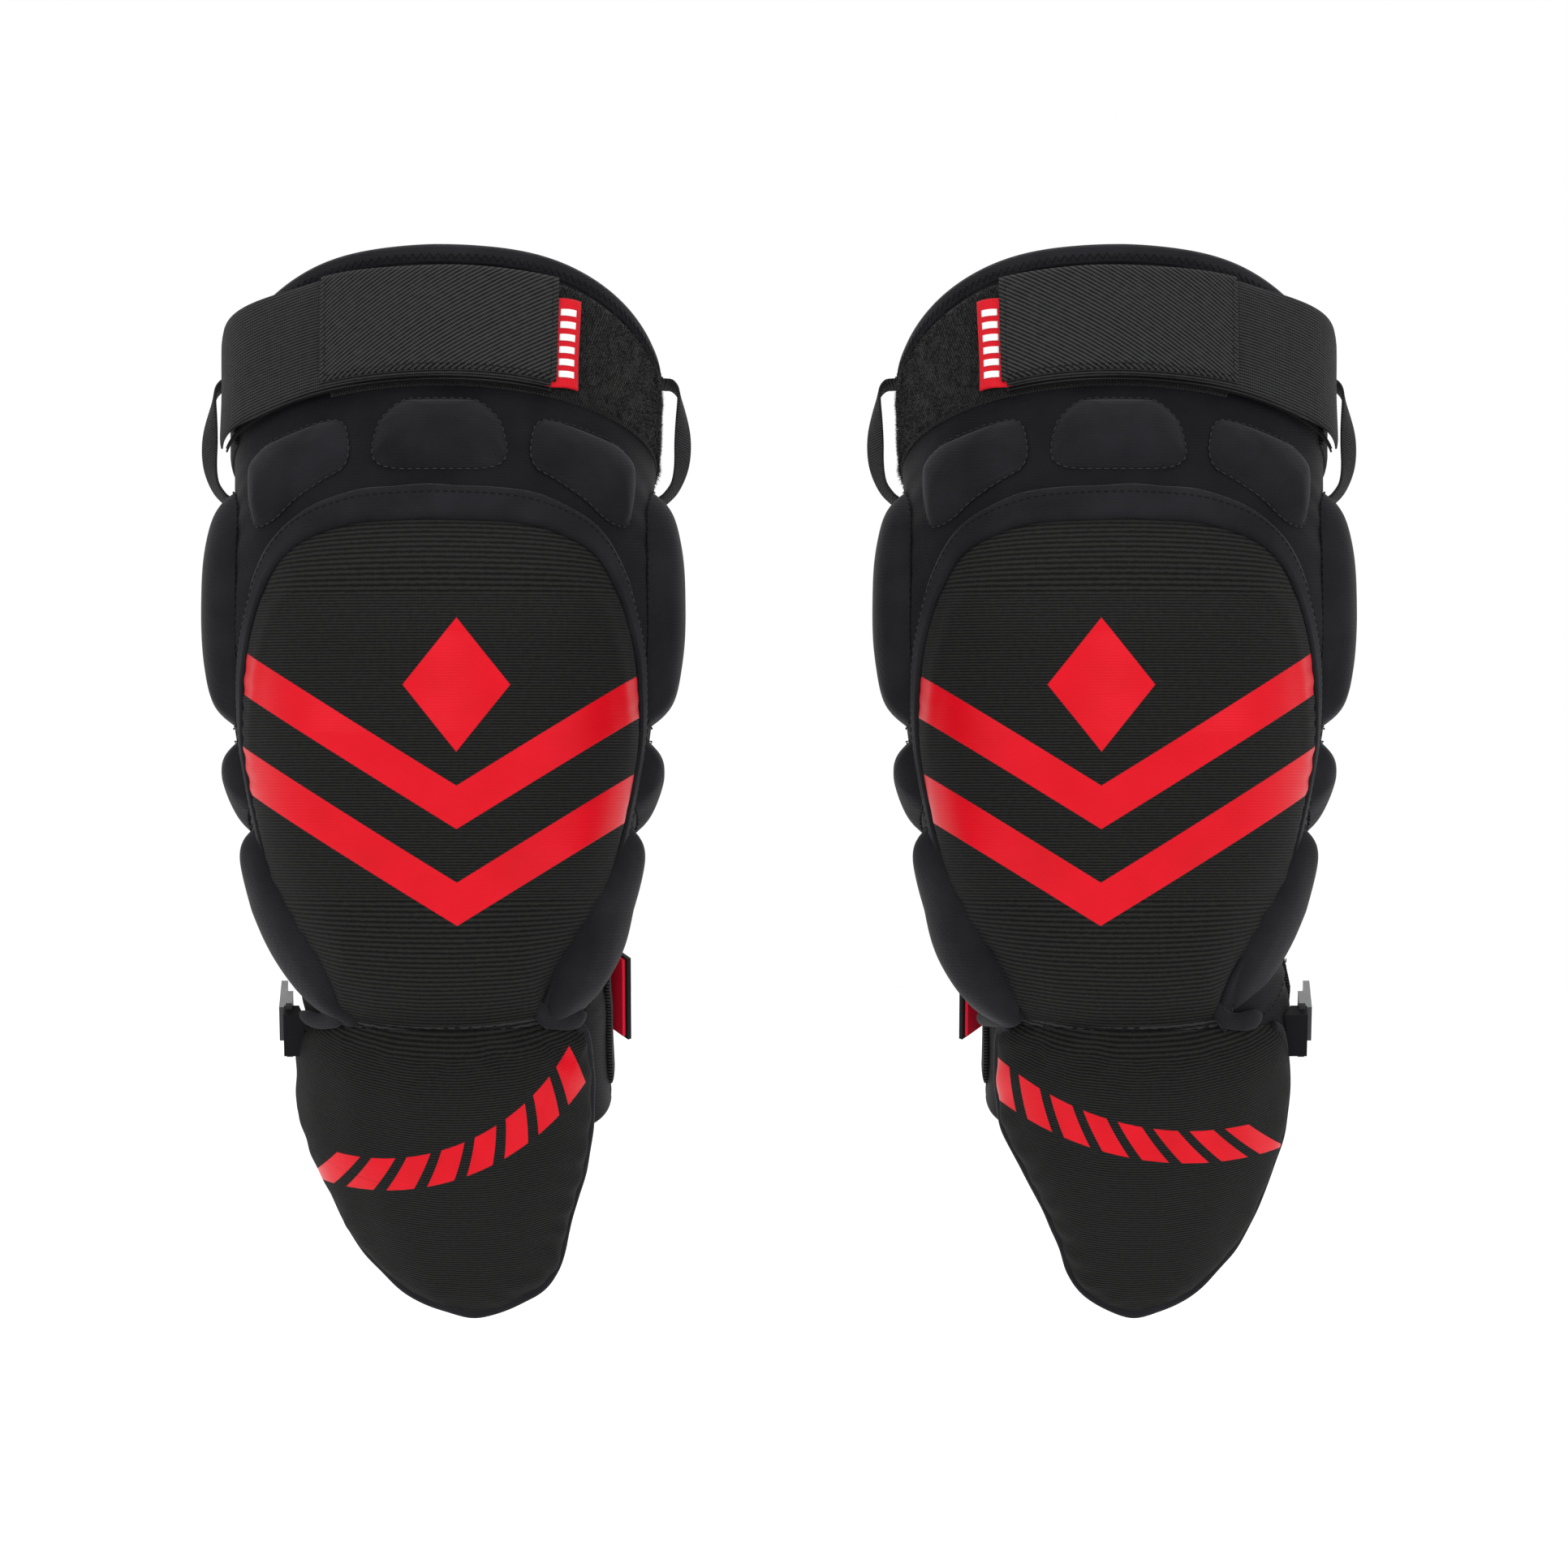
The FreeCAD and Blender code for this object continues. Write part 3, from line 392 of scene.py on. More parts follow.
def wire(solid, points, radius, around=6):
    """A round thread along a line of points."""
    ahead = np.gradient(points, axis=0)
    ahead /= np.linalg.norm(ahead, axis=1)[:, None]
    side = np.cross(ahead, [0.31, 0.87, 0.38])
    side /= np.linalg.norm(side, axis=1)[:, None]
    up = np.cross(ahead, side)
    turns = np.linspace(0, 2 * np.pi, around, endpoint=False)
    c, s = np.cos(turns)[None, :, None], np.sin(turns)[None, :, None]
    rings = points[:, None] + radius * (c * side[:, None] + s * up[:, None])
    solid.tube(rings, False)


# --- materials ------------------------------------------------------------------------------------
def shader(name, colour, roughness, sheen=0.0, coat=0.0, specular=0.08):
    material = bpy.data.materials.new(name)
    material.use_nodes = True
    nodes = material.node_tree.nodes
    base = nodes["Principled BSDF"]
    base.inputs["Base Color"].default_value = (*colour, 1)
    base.inputs["Roughness"].default_value = roughness
    base.inputs["Sheen Weight"].default_value = sheen
    base.inputs["Sheen Roughness"].default_value = 0.4
    base.inputs["Coat Weight"].default_value = coat
    base.inputs["Coat Roughness"].default_value = 0.25
    base.inputs["Specular IOR Level"].default_value = specular
    return material, material.node_tree, base


def node(tree, kind, **values):
    made = tree.nodes.new(kind)
    for key, value in values.items():
        if key.startswith("in_"):
            slot = key[3:].replace("_", " ")
            made.inputs[int(slot) if slot.isdigit() else slot].default_value = value
        else:
            setattr(made, key, value)
    return made


def math_node(tree, operation, a, b=None, c=None):
    """A Math node; each input is a number or a socket."""
    made = node(tree, "ShaderNodeMath", operation=operation)
    for k, value in enumerate((a, b, c)):
        if value is None:
            continue
        if isinstance(value, (int, float)):
            made.inputs[k].default_value = value
        else:
            tree.links.new(value, made.inputs[k])
    return made.outputs[0]


def coordinates(tree, kind="UV", turn=0.0, scale=(1, 1, 1)):
    source = node(tree, "ShaderNodeTexCoord")
    mapping = node(tree, "ShaderNodeMapping")
    mapping.inputs["Rotation"].default_value = (0, 0, turn)
    mapping.inputs["Scale"].default_value = scale
    tree.links.new(source.outputs[kind], mapping.inputs["Vector"])
    return mapping.outputs[0]


def waves(tree, vector, pitch, direction="X", profile="SIN", distortion=0.0):
    """Ribs with a given pitch in millimetres."""
    made = node(tree, "ShaderNodeTexWave", bands_direction=direction, wave_profile=profile)
    made.inputs["Scale"].default_value = 0.314 / (pitch / MM)
    made.inputs["Distortion"].default_value = distortion
    made.inputs["Detail"].default_value = 1.0
    made.inputs["Detail Scale"].default_value = 2.0
    tree.links.new(vector, made.inputs["Vector"])
    return made.outputs["Fac"]


def speckle(tree, vector, size, detail=2.0):
    """Noise whose grains are about a given size in millimetres."""
    made = node(tree, "ShaderNodeTexNoise")
    made.inputs["Scale"].default_value = 1.0 / (size / MM)
    made.inputs["Detail"].default_value = detail
    tree.links.new(vector, made.inputs["Vector"])
    return made.outputs["Fac"]


def bump(tree, base, height, depth, strength=1.0):
    made = node(tree, "ShaderNodeBump")
    made.inputs["Strength"].default_value = strength
    made.inputs["Distance"].default_value = depth / MM
    tree.links.new(height, made.inputs["Height"])
    tree.links.new(made.outputs[0], base.inputs["Normal"])
    return made


def blend_colour(tree, amount, low, high, spread=0.2):
    made = node(tree, "ShaderNodeValToRGB")
    made.color_ramp.elements[0].color = (*low, 1)
    made.color_ramp.elements[1].color = (*high, 1)
    made.color_ramp.elements[0].position = 0.5 - spread
    made.color_ramp.elements[1].position = 0.5 + spread
    tree.links.new(amount, made.inputs["Fac"])
    return made.outputs["Color"]


def neoprene(name, low, high):
    """Jersey-faced foam rubber: a fine knit in diagonal rows, with faint cloudiness."""
    material, tree, base = shader(name, high, 0.82, sheen=0.05)
    place = coordinates(tree, "Object")
    slanting = waves(tree, place, 0.9, "DIAGONAL", distortion=1.5)
    knit = math_node(tree, "MULTIPLY", slanting, waves(tree, place, 1.3, "Z", distortion=2.0))
    cloud = speckle(tree, place, 22, 4)
    height = math_node(tree, "ADD", knit, math_node(tree, "MULTIPLY", speckle(tree, place, 1.2, 3), 0.7))
    bump(tree, base, height, 0.16, 0.7)
    tree.links.new(blend_colour(tree, cloud, low, high), base.inputs["Base Color"])
    return material


def weave(name, low, high, pitch, turn, roughness=0.75, depth=0.3, sheen=0.03):
    """Woven elastic or tape: two sets of ribs that cross, with painted shade darkening the gaps."""
    material, tree, base = shader(name, high, roughness, sheen=sheen)
    place = coordinates(tree, "UV", turn)
    warp = waves(tree, place, pitch, "X", distortion=0.4)
    weft = waves(tree, place, pitch * 0.62, "Y", distortion=0.6)
    height = math_node(tree, "MULTIPLY_ADD", warp, 0.75, math_node(tree, "MULTIPLY", weft, 0.35))
    worn = math_node(tree, "MULTIPLY", speckle(tree, place, 3, 3), 0.5)
    # Painted shade: the colour is darker where the ribs are low, in the gaps, plus a random worn speckle.
    gap_shade_and_wear = math_node(tree, "MULTIPLY", math_node(tree, "ADD", height, worn), 0.66)
    bump(tree, base, height, depth)
    tree.links.new(blend_colour(tree, gap_shade_and_wear, low, high, 0.12), base.inputs["Base Color"])
    return material


def plastic(name, colour, roughness, coat=0.0):
    """Moulded plastic with a fine spark-eroded grain and slightly uneven gloss."""
    material, tree, base = shader(name, colour, roughness, coat=coat)
    place = coordinates(tree, "Object")
    grain = speckle(tree, place, 0.5, 2)
    bump(tree, base, grain, 0.05, 0.6)
    uneven = math_node(tree, "MULTIPLY_ADD", speckle(tree, place, 9, 3), 0.25, roughness - 0.12)
    tree.links.new(uneven, base.inputs["Roughness"])
    tree.links.new(blend_colour(tree, grain, tuple(c * 0.85 for c in colour), colour),
                   base.inputs["Base Color"])
    return material


RED = (0.46, 0.0024, 0.010)
DARK_RED = (0.40, 0.0018, 0.007)
# KNIT_LOW is the painted shade in the knit's rib grooves.
KNIT_LOW = (0.0018, 0.0018, 0.0017)
KNIT_HIGH = (0.0115, 0.0113, 0.0108)


def printed_knit(name, mask_builder):
    """Ribbed knit with a red rubber print: the ribs show faintly through the print, and painted shade darkens the
    black knit in its rib grooves.
    """
    material, tree, base = shader(name, KNIT_HIGH, 0.8, sheen=0.0, specular=0.08)
    cloth = coordinates(tree, "UV")
    ribs = waves(tree, cloth, 1.15, "Y", distortion=0.8)
    rows = waves(tree, cloth, 0.8, "X", distortion=1.0)
    knit = math_node(tree, "ADD", math_node(tree, "MULTIPLY", ribs, 0.8),
                     math_node(tree, "MULTIPLY", rows, 0.2))
    grain = math_node(tree, "ADD", knit, math_node(tree, "MULTIPLY", speckle(tree, cloth, 2.0, 3), 0.6))
    # Painted shade: the black knit's colour is darker in the rib grooves, with a random speckle.
    black = blend_colour(tree, math_node(tree, "MULTIPLY", grain, 0.62), KNIT_LOW, KNIT_HIGH, 0.2)
    mask = mask_builder(tree)
    cloud = speckle(tree, cloth, 25, 2)
    red = blend_colour(tree, cloud, DARK_RED, RED)
    mix = node(tree, "ShaderNodeMix", data_type="RGBA")
    tree.links.new(mask, mix.inputs["Factor"])
    tree.links.new(black, mix.inputs["A"])
    tree.links.new(red, mix.inputs["B"])
    tree.links.new(mix.outputs["Result"], base.inputs["Base Color"])
    tree.links.new(math_node(tree, "MULTIPLY_ADD", mask, -0.46, 0.82), base.inputs["Roughness"])
    flat = math_node(tree, "MULTIPLY_ADD", mask, -0.75, 1.0)
    height = math_node(tree, "MULTIPLY_ADD", grain, flat, math_node(tree, "MULTIPLY", mask, 1.2))
    bump(tree, base, height, 0.2, 0.8)
    return material


def inside(tree, value, edge, soft=0.00025):
    """1 where value is below edge, with a narrow soft step."""
    past = math_node(tree, "MULTIPLY_ADD", math_node(tree, "SUBTRACT", value, edge), 1 / soft, 0.5)
    past = math_node(tree, "MINIMUM", 1.0, math_node(tree, "MAXIMUM", past, 0.0))
    return math_node(tree, "SUBTRACT", 1.0, past)


def print_axes(tree, leg, x, z):
    """The front view's two distances from a point, mirrored so that they match on the two guards."""
    source = node(tree, "ShaderNodeTexCoord")
    split = node(tree, "ShaderNodeSeparateXYZ")
    tree.links.new(source.outputs["Object"], split.inputs[0])
    across = math_node(tree, "MULTIPLY_ADD", split.outputs[0], float(leg.sign), -(leg.sign * leg.x + x) / MM)
    up = math_node(tree, "SUBTRACT", split.outputs[2], (leg.low + z) / MM)
    return across, up


CHEVRON_SLOPE = 0.62
# Each chevron's height at its point above the print's middle, and its half height.
CHEVRONS = ((44.0, 17.0), (6.0, 17.0))


def cup_print(leg):
    """Nested chevrons with a lozenge over them."""
    def build(tree):
        across, up = print_axes(tree, leg, 2.0, 74.0)
        aside = math_node(tree, "ABSOLUTE", math_node(tree, "SUBTRACT", across, 0.006))
        lean = math_node(tree, "MULTIPLY_ADD", aside, -CHEVRON_SLOPE, up)
        total = 0.0
        for height, half in CHEVRONS:
            apart = math_node(tree, "ABSOLUTE", math_node(tree, "SUBTRACT", lean, (height - 62) / MM))
            total = math_node(tree, "MAXIMUM", total, inside(tree, apart, half / 2 / MM))
        above = math_node(tree, "ABSOLUTE", math_node(tree, "SUBTRACT", up, 0.030))
        lozenge = math_node(tree, "MULTIPLY_ADD", above, 0.8, aside)
        return math_node(tree, "MAXIMUM", total, inside(tree, lozenge, 0.021))
    return build


BAR_HEIGHT = 13.0
BAR_COUNT = 8
BAR_SLANT = 8.0
# Each guard's row of bars: three places on its arc, beside and above the lower bend, and its ends' angles.
BAR_ARCS = {
    "right": ((-49, -86.4), (-15, -89.6), (56.6, -41.6), (-0.30, 1.06)),
    "left": ((-64, -73.9), (4.8, -73.9), (49.6, -49.9), (-0.27, 0.72)),
}


def circle_through(a, b, c):
    """The centre and the radius of the circle through three places."""
    a, b, c = (np.array(place, float) for place in (a, b, c))
    centre = np.linalg.solve(2 * np.stack([b - a, c - a]), [b @ b - a @ a, c @ c - a @ a])
    return float(centre[0]), float(centre[1]), float(np.hypot(*(centre - a)))


def shin_print(leg):
    """A row of slanted bars along an arc that rises towards the inner side."""
    *places, (start, end) = BAR_ARCS[leg.side]
    x, z, arc_radius = circle_through(*places)

    def build(tree):
        across, up = print_axes(tree, leg, x, z)
        square = math_node(tree, "MULTIPLY_ADD", across, across, math_node(tree, "MULTIPLY", up, up))
        out = math_node(tree, "SUBTRACT", math_node(tree, "SQRT", square), arc_radius / MM)
        turn = math_node(tree, "ARCTAN2", across, math_node(tree, "MULTIPLY", up, -1.0))
        slanted = math_node(tree, "MULTIPLY_ADD", out, BAR_SLANT, turn)
        along_row = math_node(tree, "SUBTRACT", slanted, start)
        phase = math_node(tree, "FRACT", math_node(tree, "DIVIDE", along_row, (end - start) / BAR_COUNT))
        bar = inside(tree, math_node(tree, "ABSOLUTE", math_node(tree, "SUBTRACT", phase, 0.5)), 0.34, 0.01)
        band = inside(tree, math_node(tree, "ABSOLUTE", out), BAR_HEIGHT / 2 / MM)
        middle = (start + end) / 2
        off_middle = math_node(tree, "ABSOLUTE", math_node(tree, "SUBTRACT", slanted, middle))
        reach = inside(tree, off_middle, end - middle, 0.002)
        return math_node(tree, "MULTIPLY", math_node(tree, "MULTIPLY", bar, band), reach)
    return build


NEO = neoprene("neoprene", (0.0024, 0.0023, 0.0032), (0.0052, 0.0050, 0.0066))
PAD_NEO = neoprene("padded_neoprene", (0.0046, 0.0045, 0.0057), (0.0090, 0.0088, 0.0110))
BINDING = neoprene("binding", (0.0040, 0.0039, 0.0050), (0.0085, 0.0082, 0.0105))
TWILL = weave("twill_elastic", (0.0010, 0.0010, 0.0010), (0.0255, 0.0257, 0.026), 1.5, math.radians(52),
              depth=0.35)
RIBBED = weave("ribbed_elastic", (0.0008, 0.0008, 0.0008), (0.021, 0.0212, 0.0215), 1.35, math.radians(90),
               depth=0.45)
WEBBING = weave("webbing", (0.004, 0.004, 0.005), (0.022, 0.022, 0.023), 1.1, 0.0, depth=0.3)
MESH = weave("stretch_mesh", (0.003, 0.003, 0.004), (0.018, 0.018, 0.020), 2.2, math.radians(45), depth=0.6)
PILE = weave("loop_pile", (0.0038, 0.0038, 0.0038), (0.0140, 0.0134, 0.0128), 1.0, 0.3, roughness=0.95,
             depth=0.5, sheen=0.08)
THREAD = weave("thread", (0.02, 0.02, 0.02), (0.075, 0.075, 0.073), 0.6, 0.4, depth=0.1)
DARK_THREAD = weave("dark_thread", (0.004, 0.004, 0.005), (0.016, 0.016, 0.019), 0.6, 0.4, depth=0.1)
LABEL = weave("red_label", (0.30, 0.003, 0.008), (0.50, 0.004, 0.012), 0.6, 0.0, roughness=0.6, depth=0.1)
LABEL_MARK = weave("label_mark", (0.62, 0.62, 0.62), (0.85, 0.85, 0.85), 0.6, 0.0, roughness=0.6, depth=0.1)
TAB = weave("tab_fabric", (0.008, 0.008, 0.009), (0.030, 0.030, 0.032), 1.0, 0.0)
RED_HOOK = plastic("red_hook", (0.72, 0.012, 0.035), 0.45)
BLACK_HOOK = plastic("black_hook", (0.02, 0.02, 0.02), 0.5)
CLIP = plastic("clip_plastic", (0.030, 0.031, 0.033), 0.34, coat=0.25)


# --- thigh cuff -----------------------------------------------------------------------------------
TOP_SIDE_DROP = 17.3  # how much lower the top edge is at the sides
BINDING_WIDTH = 8.5
STRAP_LOW = KNEE + 38.0
STRAP_HIGH = KNEE + 88.0
SLEEVE_SPLIT = 62.0  # where the upper piece of the sleeve meets the lower one, under the side pads


def top_height(leg, phi, drop=0.0):
    """The cuff's arched top edge."""
    return KNEE + CUFF_TOP - drop - TOP_SIDE_DROP * np.sin(phi) ** 4


def skin_wrinkles(phi, t, seed):
    """Creases in the sleeve near the upper bend, mostly at its sides."""
    near = np.exp(-((t - KNEE - 2) / 20.0) ** 2) * step(np.abs(phi), 0.6, 1.4)
    folds = np.sin(2 * np.pi * (t + 5 * ripple(along(phi), t, 60, seed)) / 11.0)
    return -0.9 * near * (0.6 + 0.4 * folds) + 0.35 * ripple(along(phi), t, 38, seed + 1)


def sleeve_upper(leg):
    phi = np.linspace(-SEAM_ANGLE, SEAM_ANGLE, 181)[None]
    share = np.linspace(0, 1, 111)[:, None]
    t = SLEEVE_SPLIT + share * (top_height(leg, phi, 1.0) - SLEEVE_SPLIT)
    phi = phi + 0 * t
    off = skin_wrinkles(phi, t, 11)
    solid = Solid()
    solid.slab(leg.place(phi, t, off), leg.place(phi, t, off - NEOPRENE), np.stack([along(phi), t], -1))
    piece = solid.make(f"{leg.side}_sleeve_upper", NEO, f"{leg.side}_knee")
    piece.parent = None
    stand_in(piece, leg.side, "neoprene", "thigh_sleeve", "knee_sleeve")
    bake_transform(piece)
    return piece


def ring_band(leg, name, low, high, phi_from, phi_to, under, over, material, body, rows=24, cols=150,
              sag=0.3, seed=3, edge=0.5, bulge=0.0):
    """A flat band round the leg, with rounded long edges."""
    phi = np.linspace(phi_from, phi_to, cols)[None]
    share = np.linspace(0, 1, rows)[:, None]
    lower = low(phi) if callable(low) else low
    upper = high(phi) if callable(high) else high
    t = lower + share * (upper - lower) + 0 * phi
    phi = phi + 0 * t
    wobble = sag * ripple(along(phi), t, 45, seed) + bulge * np.exp(-((phi + 1.2) / 0.3) ** 2)
    rounding = 1 - np.minimum(1, np.minimum(share, 1 - share) * (rows - 1) / 1.5)
    outer = leg.place(phi, t, over + wobble - edge * rounding)
    inner = leg.place(phi, t, under + wobble)
    solid = Solid()
    solid.slab(outer, inner, np.stack([along(phi), t], -1))
    return solid.make(name, material, body)


def cuff_back(leg):
    body = f"{leg.side}_cuff"
    piece = ring_band(leg, f"{leg.side}_back_panel", KNEE + 2.0, lambda phi: top_height(leg, phi, 1.0),
                      SEAM_ANGLE,
                      2 * math.pi - SEAM_ANGLE, -1.6, 0.0, MESH, body, rows=60, sag=0.7)
    stand_in(piece, leg.side, "stretch_mesh", "thigh_back_panel")

    def high(phi):
        return np.minimum(STRAP_HIGH - 1, top_height(leg, phi, BINDING_WIDTH + 0.8))

    anchor = ring_band(leg, f"{leg.side}_strap_anchor", STRAP_LOW, high, math.radians(100),
                       2 * math.pi - math.radians(76), 0.2, 1.9, RIBBED, body, sag=0.5)
    stand_in(anchor, leg.side, "ribbed_elastic", "thigh_strap_anchor")


def binding(leg):
    """Tape folded over the top edge, and its zig-zag thread."""
    section = [(0.25, -BINDING_WIDTH), (1.1, -8.1), (1.35, -5.0), (1.3, -1.8), (0.5, 0.2), (-1.4, 0.7),
               (-3.3, 0.2), (-4.1, -1.8), (-4.1, -8.1), (-3.3, -BINDING_WIDTH)]
    phi = np.linspace(0, 2 * np.pi, 260, endpoint=False)
    uneven = 0.25 * ripple(along(phi), 0, 30, 5)
    rings = [leg.place(phi, top_height(leg, phi) + down, off + uneven) for off, down in section]
    solid = Solid()
    solid.tube(np.stack(rings, 1), True)
    piece = solid.make(f"{leg.side}_top_binding_tape", BINDING, f"{leg.side}_cuff")
    stand_in(piece, leg.side, "binding_tape", "top_binding")
    count = 320
    turn = np.linspace(0, 2 * np.pi, count)
    down = np.where(np.arange(count) % 2 == 0, -4.4, -7.2)
    zig = Solid()
    wire(zig, leg.place(turn, top_height(leg, turn) + down, 1.55), 0.2, 5)
    zig.make(f"{leg.side}_binding_thread", DARK_THREAD, f"{leg.side}_cuff")


def loop_pad(leg):
    """Plush pad that the strap's hooks grip: a backing and a nap of short fibres."""
    body = f"{leg.side}_cuff"
    start, end = math.radians(-31), math.radians(104)

    def high(phi):
        return np.minimum(STRAP_HIGH, top_height(leg, phi, BINDING_WIDTH + 1.5))

    def low(phi):
        return STRAP_LOW - 2.5 - 0 * phi

    piece = ring_band(leg, f"{leg.side}_loop_pad", low, high, start, end, 0.2, 1.3, PILE, body, sag=0.15)
    stand_in(piece, leg.side, "loop_pile", "thigh_loop_pad")
    random = np.random.RandomState(21)
    count = 15000
    phi = random.uniform(start + 0.01, end - 0.01, count)
    t = low(phi) + 0.6 + random.uniform(0, 1, count) * (high(phi) - low(phi) - 1.2)
    covered = phi < math.radians(30)
    tall = 1.0 + 0.9 * random.uniform(0, 1, count) + 0.5 * ripple(along(phi), t, 9, 8)
    tall = np.where(covered, 0.5, 1.0) * tall
    root = leg.place(phi, t, 1.1)
    lean = random.normal(0, 0.012, (count, 2))
    tip = leg.place(phi + lean[:, 0], t + lean[:, 1] * 70, 1.1 + np.maximum(tall, 0.3))
    aside = np.cross(tip - root, random.normal(0, 1, (count, 3)))
    aside /= np.linalg.norm(aside, axis=1)[:, None]
    up = tip - root
    third = np.cross(aside, up)
    third /= np.linalg.norm(third, axis=1)[:, None]
    solid = Solid()
    width = 0.16
    corners = np.stack([root + width * aside, root - 0.5 * width * aside + 0.87 * width * third,
                        root - 0.5 * width * aside - 0.87 * width * third, tip], 1)
    first = solid.add(corners) + 4 * np.arange(count)[:, None]
    for a, b, c in ((0, 1, 3), (1, 2, 3), (2, 0, 3), (0, 2, 1)):
        solid.faces.extend((first + np.array([a, b, c])).tolist())
    solid.make(f"{leg.side}_loop_pad_nap", PILE, body)


def front_angle(leg, x, t):
    """The angle at which the front shows something at x."""
    return math.asin(x / float(leg.section(t)[0]))


def strap_top(phi):
    """The flap's upper edge, which stands higher towards the outer side."""
    return STRAP_HIGH - 0.8 + 4.0 * np.maximum(0, -np.sin(phi)) ** 2


def strap(leg):
    """The flap: ribbed elastic under a twill face, stitched at both of the face's ends, and a label."""
    body = f"{leg.side}_strap"
    root = math.radians(-80)
    seam, end = front_angle(leg, -46.0, STRAP_LOW + 25), front_angle(leg, 44.0, STRAP_LOW + 25)
    under = ring_band(leg, f"{leg.side}_strap_elastic",
                      lambda phi: STRAP_LOW - 2.2 * step(phi, root, root + 0.6) + 0 * phi,
                      strap_top, root, end - 0.02, 2.7, 4.0, RIBBED, body, sag=0.35, seed=4, bulge=4.0)
    stand_in(under, leg.side, "ribbed_elastic", "thigh_strap")
    face = ring_band(leg, f"{leg.side}_strap_face", STRAP_LOW + 2.6, lambda phi: strap_top(phi) + 0.8, seam,
                     end, 4.0, 5.3, TWILL, body,
                     rows=30, cols=110, sag=0.35, seed=4)
    rib = Solid()
    edge = np.linspace(root, end - 0.03, 160)
    for height in (STRAP_LOW - 1.0, STRAP_LOW + 0.6):
        line = np.stack([edge, height - 1.2 * step(edge, root, root + 0.6)], -1)
        border(rib, leg, line, [(-0.5, 3.9), (0, 4.5), (0.5, 3.9), (0, 3.6)], False)
    rib.make(f"{leg.side}_strap_edge", RIBBED, body)
    seams = Solid()
    for at in (seam + 0.025, end - 0.03):
        line = np.stack([np.full(40, at), np.linspace(STRAP_LOW + 4.5, STRAP_HIGH - 1.5, 40)], -1)
        stitches(seams, leg, line, off=5.3, closed=False, length=1.9, gap=0.9, radius=0.24)
    line = np.stack([np.linspace(seam + 0.03, end - 0.03, 120), np.full(120, STRAP_LOW + 4.4)], -1)
    stitches(seams, leg, line, off=5.3, closed=False, length=1.9, gap=0.9, radius=0.2)
    seams.make(f"{leg.side}_strap_stitches", DARK_THREAD, body)
    label(leg, end, body)


def label(leg, end, body):
    """A red woven label at the strap's end with plain white bars on it."""
    low, high = STRAP_LOW + 0.5, STRAP_LOW + 41.0
    finish = front_angle(leg, 52.8, STRAP_LOW + 20)
    phi = np.linspace(end - 0.05, finish, 16)[None]
    t = np.linspace(low, high, 40)[:, None]
    bulge = 0.9 * np.sin(np.clip((phi - end) / (finish - end), 0, 1) * np.pi) + 0.5 * np.sin(t / 9.0)
    solid = Solid()
    slope = t + 1.3 * (phi - end) / (finish - end)
    solid.slab(leg.place(phi, slope, 3.7 + bulge), leg.place(phi, slope, 2.9 + bulge),
               np.stack([along(phi + 0 * t), t + 0 * phi], -1))
    piece = solid.make(f"{leg.side}_label", LABEL, body)
    stand_in(piece, leg.side, "red_label", "thigh_strap_label")
    marks = Solid()
    for k in range(6):
        start = low + 4.5 + 5.6 * k
        across = np.linspace(end + 0.016, finish - 0.030, 8)[None]
        tall = np.linspace(0, 2.9, 5)[:, None]
        lean = start + tall + 1.6 * (across - end) / (finish - end)
        lift = 0.9 * np.sin(np.clip((across - end) / (finish - end), 0, 1) * np.pi)
        lift = lift + 0.5 * np.sin((start + tall) / 9.0)
        marks.slab(leg.place(across, lean, 3.95 + lift), leg.place(across, lean, 3.6 + lift))
    marks.make(f"{leg.side}_label_bars", LABEL_MARK, body)


# The pull loops' path: each point's distance off the side, and its height up the thigh.
LOOP_PATH = (
    (-2.5, 82.5), (1.5, 81.5), (5.5, 81.0), (8.3, 76.5), (9.6, 66.0), (10.2, 54.0),
    (9.8, 43.0), (7.6, 33.5), (4.0, 27.5), (0.8, 24.0), (-1.5, 19.0),
)


def pull_loop(leg, side, name):
    """A narrow tape sewn at both ends that bows out and twists a little."""
    path = smooth(LOOP_PATH, 90, closed=False)
    share = np.linspace(0, 1, len(path))
    phi = side * math.radians(97)
    out = np.where(np.abs(share - 0.5) > 0.44, np.maximum(path[:, 0], 2.1), path[:, 0] + 1.2)
    centre = leg.place(phi, KNEE + path[:, 1], out)
    ahead = np.gradient(centre, axis=0)
    ahead /= np.linalg.norm(ahead, axis=1)[:, None]
    back = np.array([0, math.cos(THIGH_TILT), -math.sin(THIGH_TILT)])
    normal = np.cross(ahead, back)
    normal /= np.linalg.norm(normal, axis=1)[:, None]
    wide = np.cross(normal, ahead)
    twist = 0.85 * np.sin(np.pi * step(share, 0.08, 0.92)) * side * leg.sign
    flat = wide * np.cos(twist)[:, None] + normal * np.sin(twist)[:, None]
    thin = -wide * np.sin(twist)[:, None] + normal * np.cos(twist)[:, None]
    section = [(-4.2, -0.3), (-3.9, -0.6), (3.9, -0.6), (4.2, -0.3), (4.2, 0.3), (3.9, 0.6), (-3.9, 0.6),
               (-4.2, 0.3)]
    rings = np.stack([centre + a * flat + b * thin for a, b in section], 1)
    solid = Solid()
    solid.tube(rings, False)
    length = np.arange(len(path))[:, None] * 0.75 + 0 * rings[..., 0]
    across = np.array([a for a, _ in section])[None] + 0 * rings[..., 0]
    solid.uvs[-1] = np.stack([length, across], -1).reshape(-1, 2)
    piece = solid.make(f"{leg.side}_{name}_tape", WEBBING, f"{leg.side}_{name}_loop")
    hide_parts(f"{leg.side}_{name}_pull_loop")


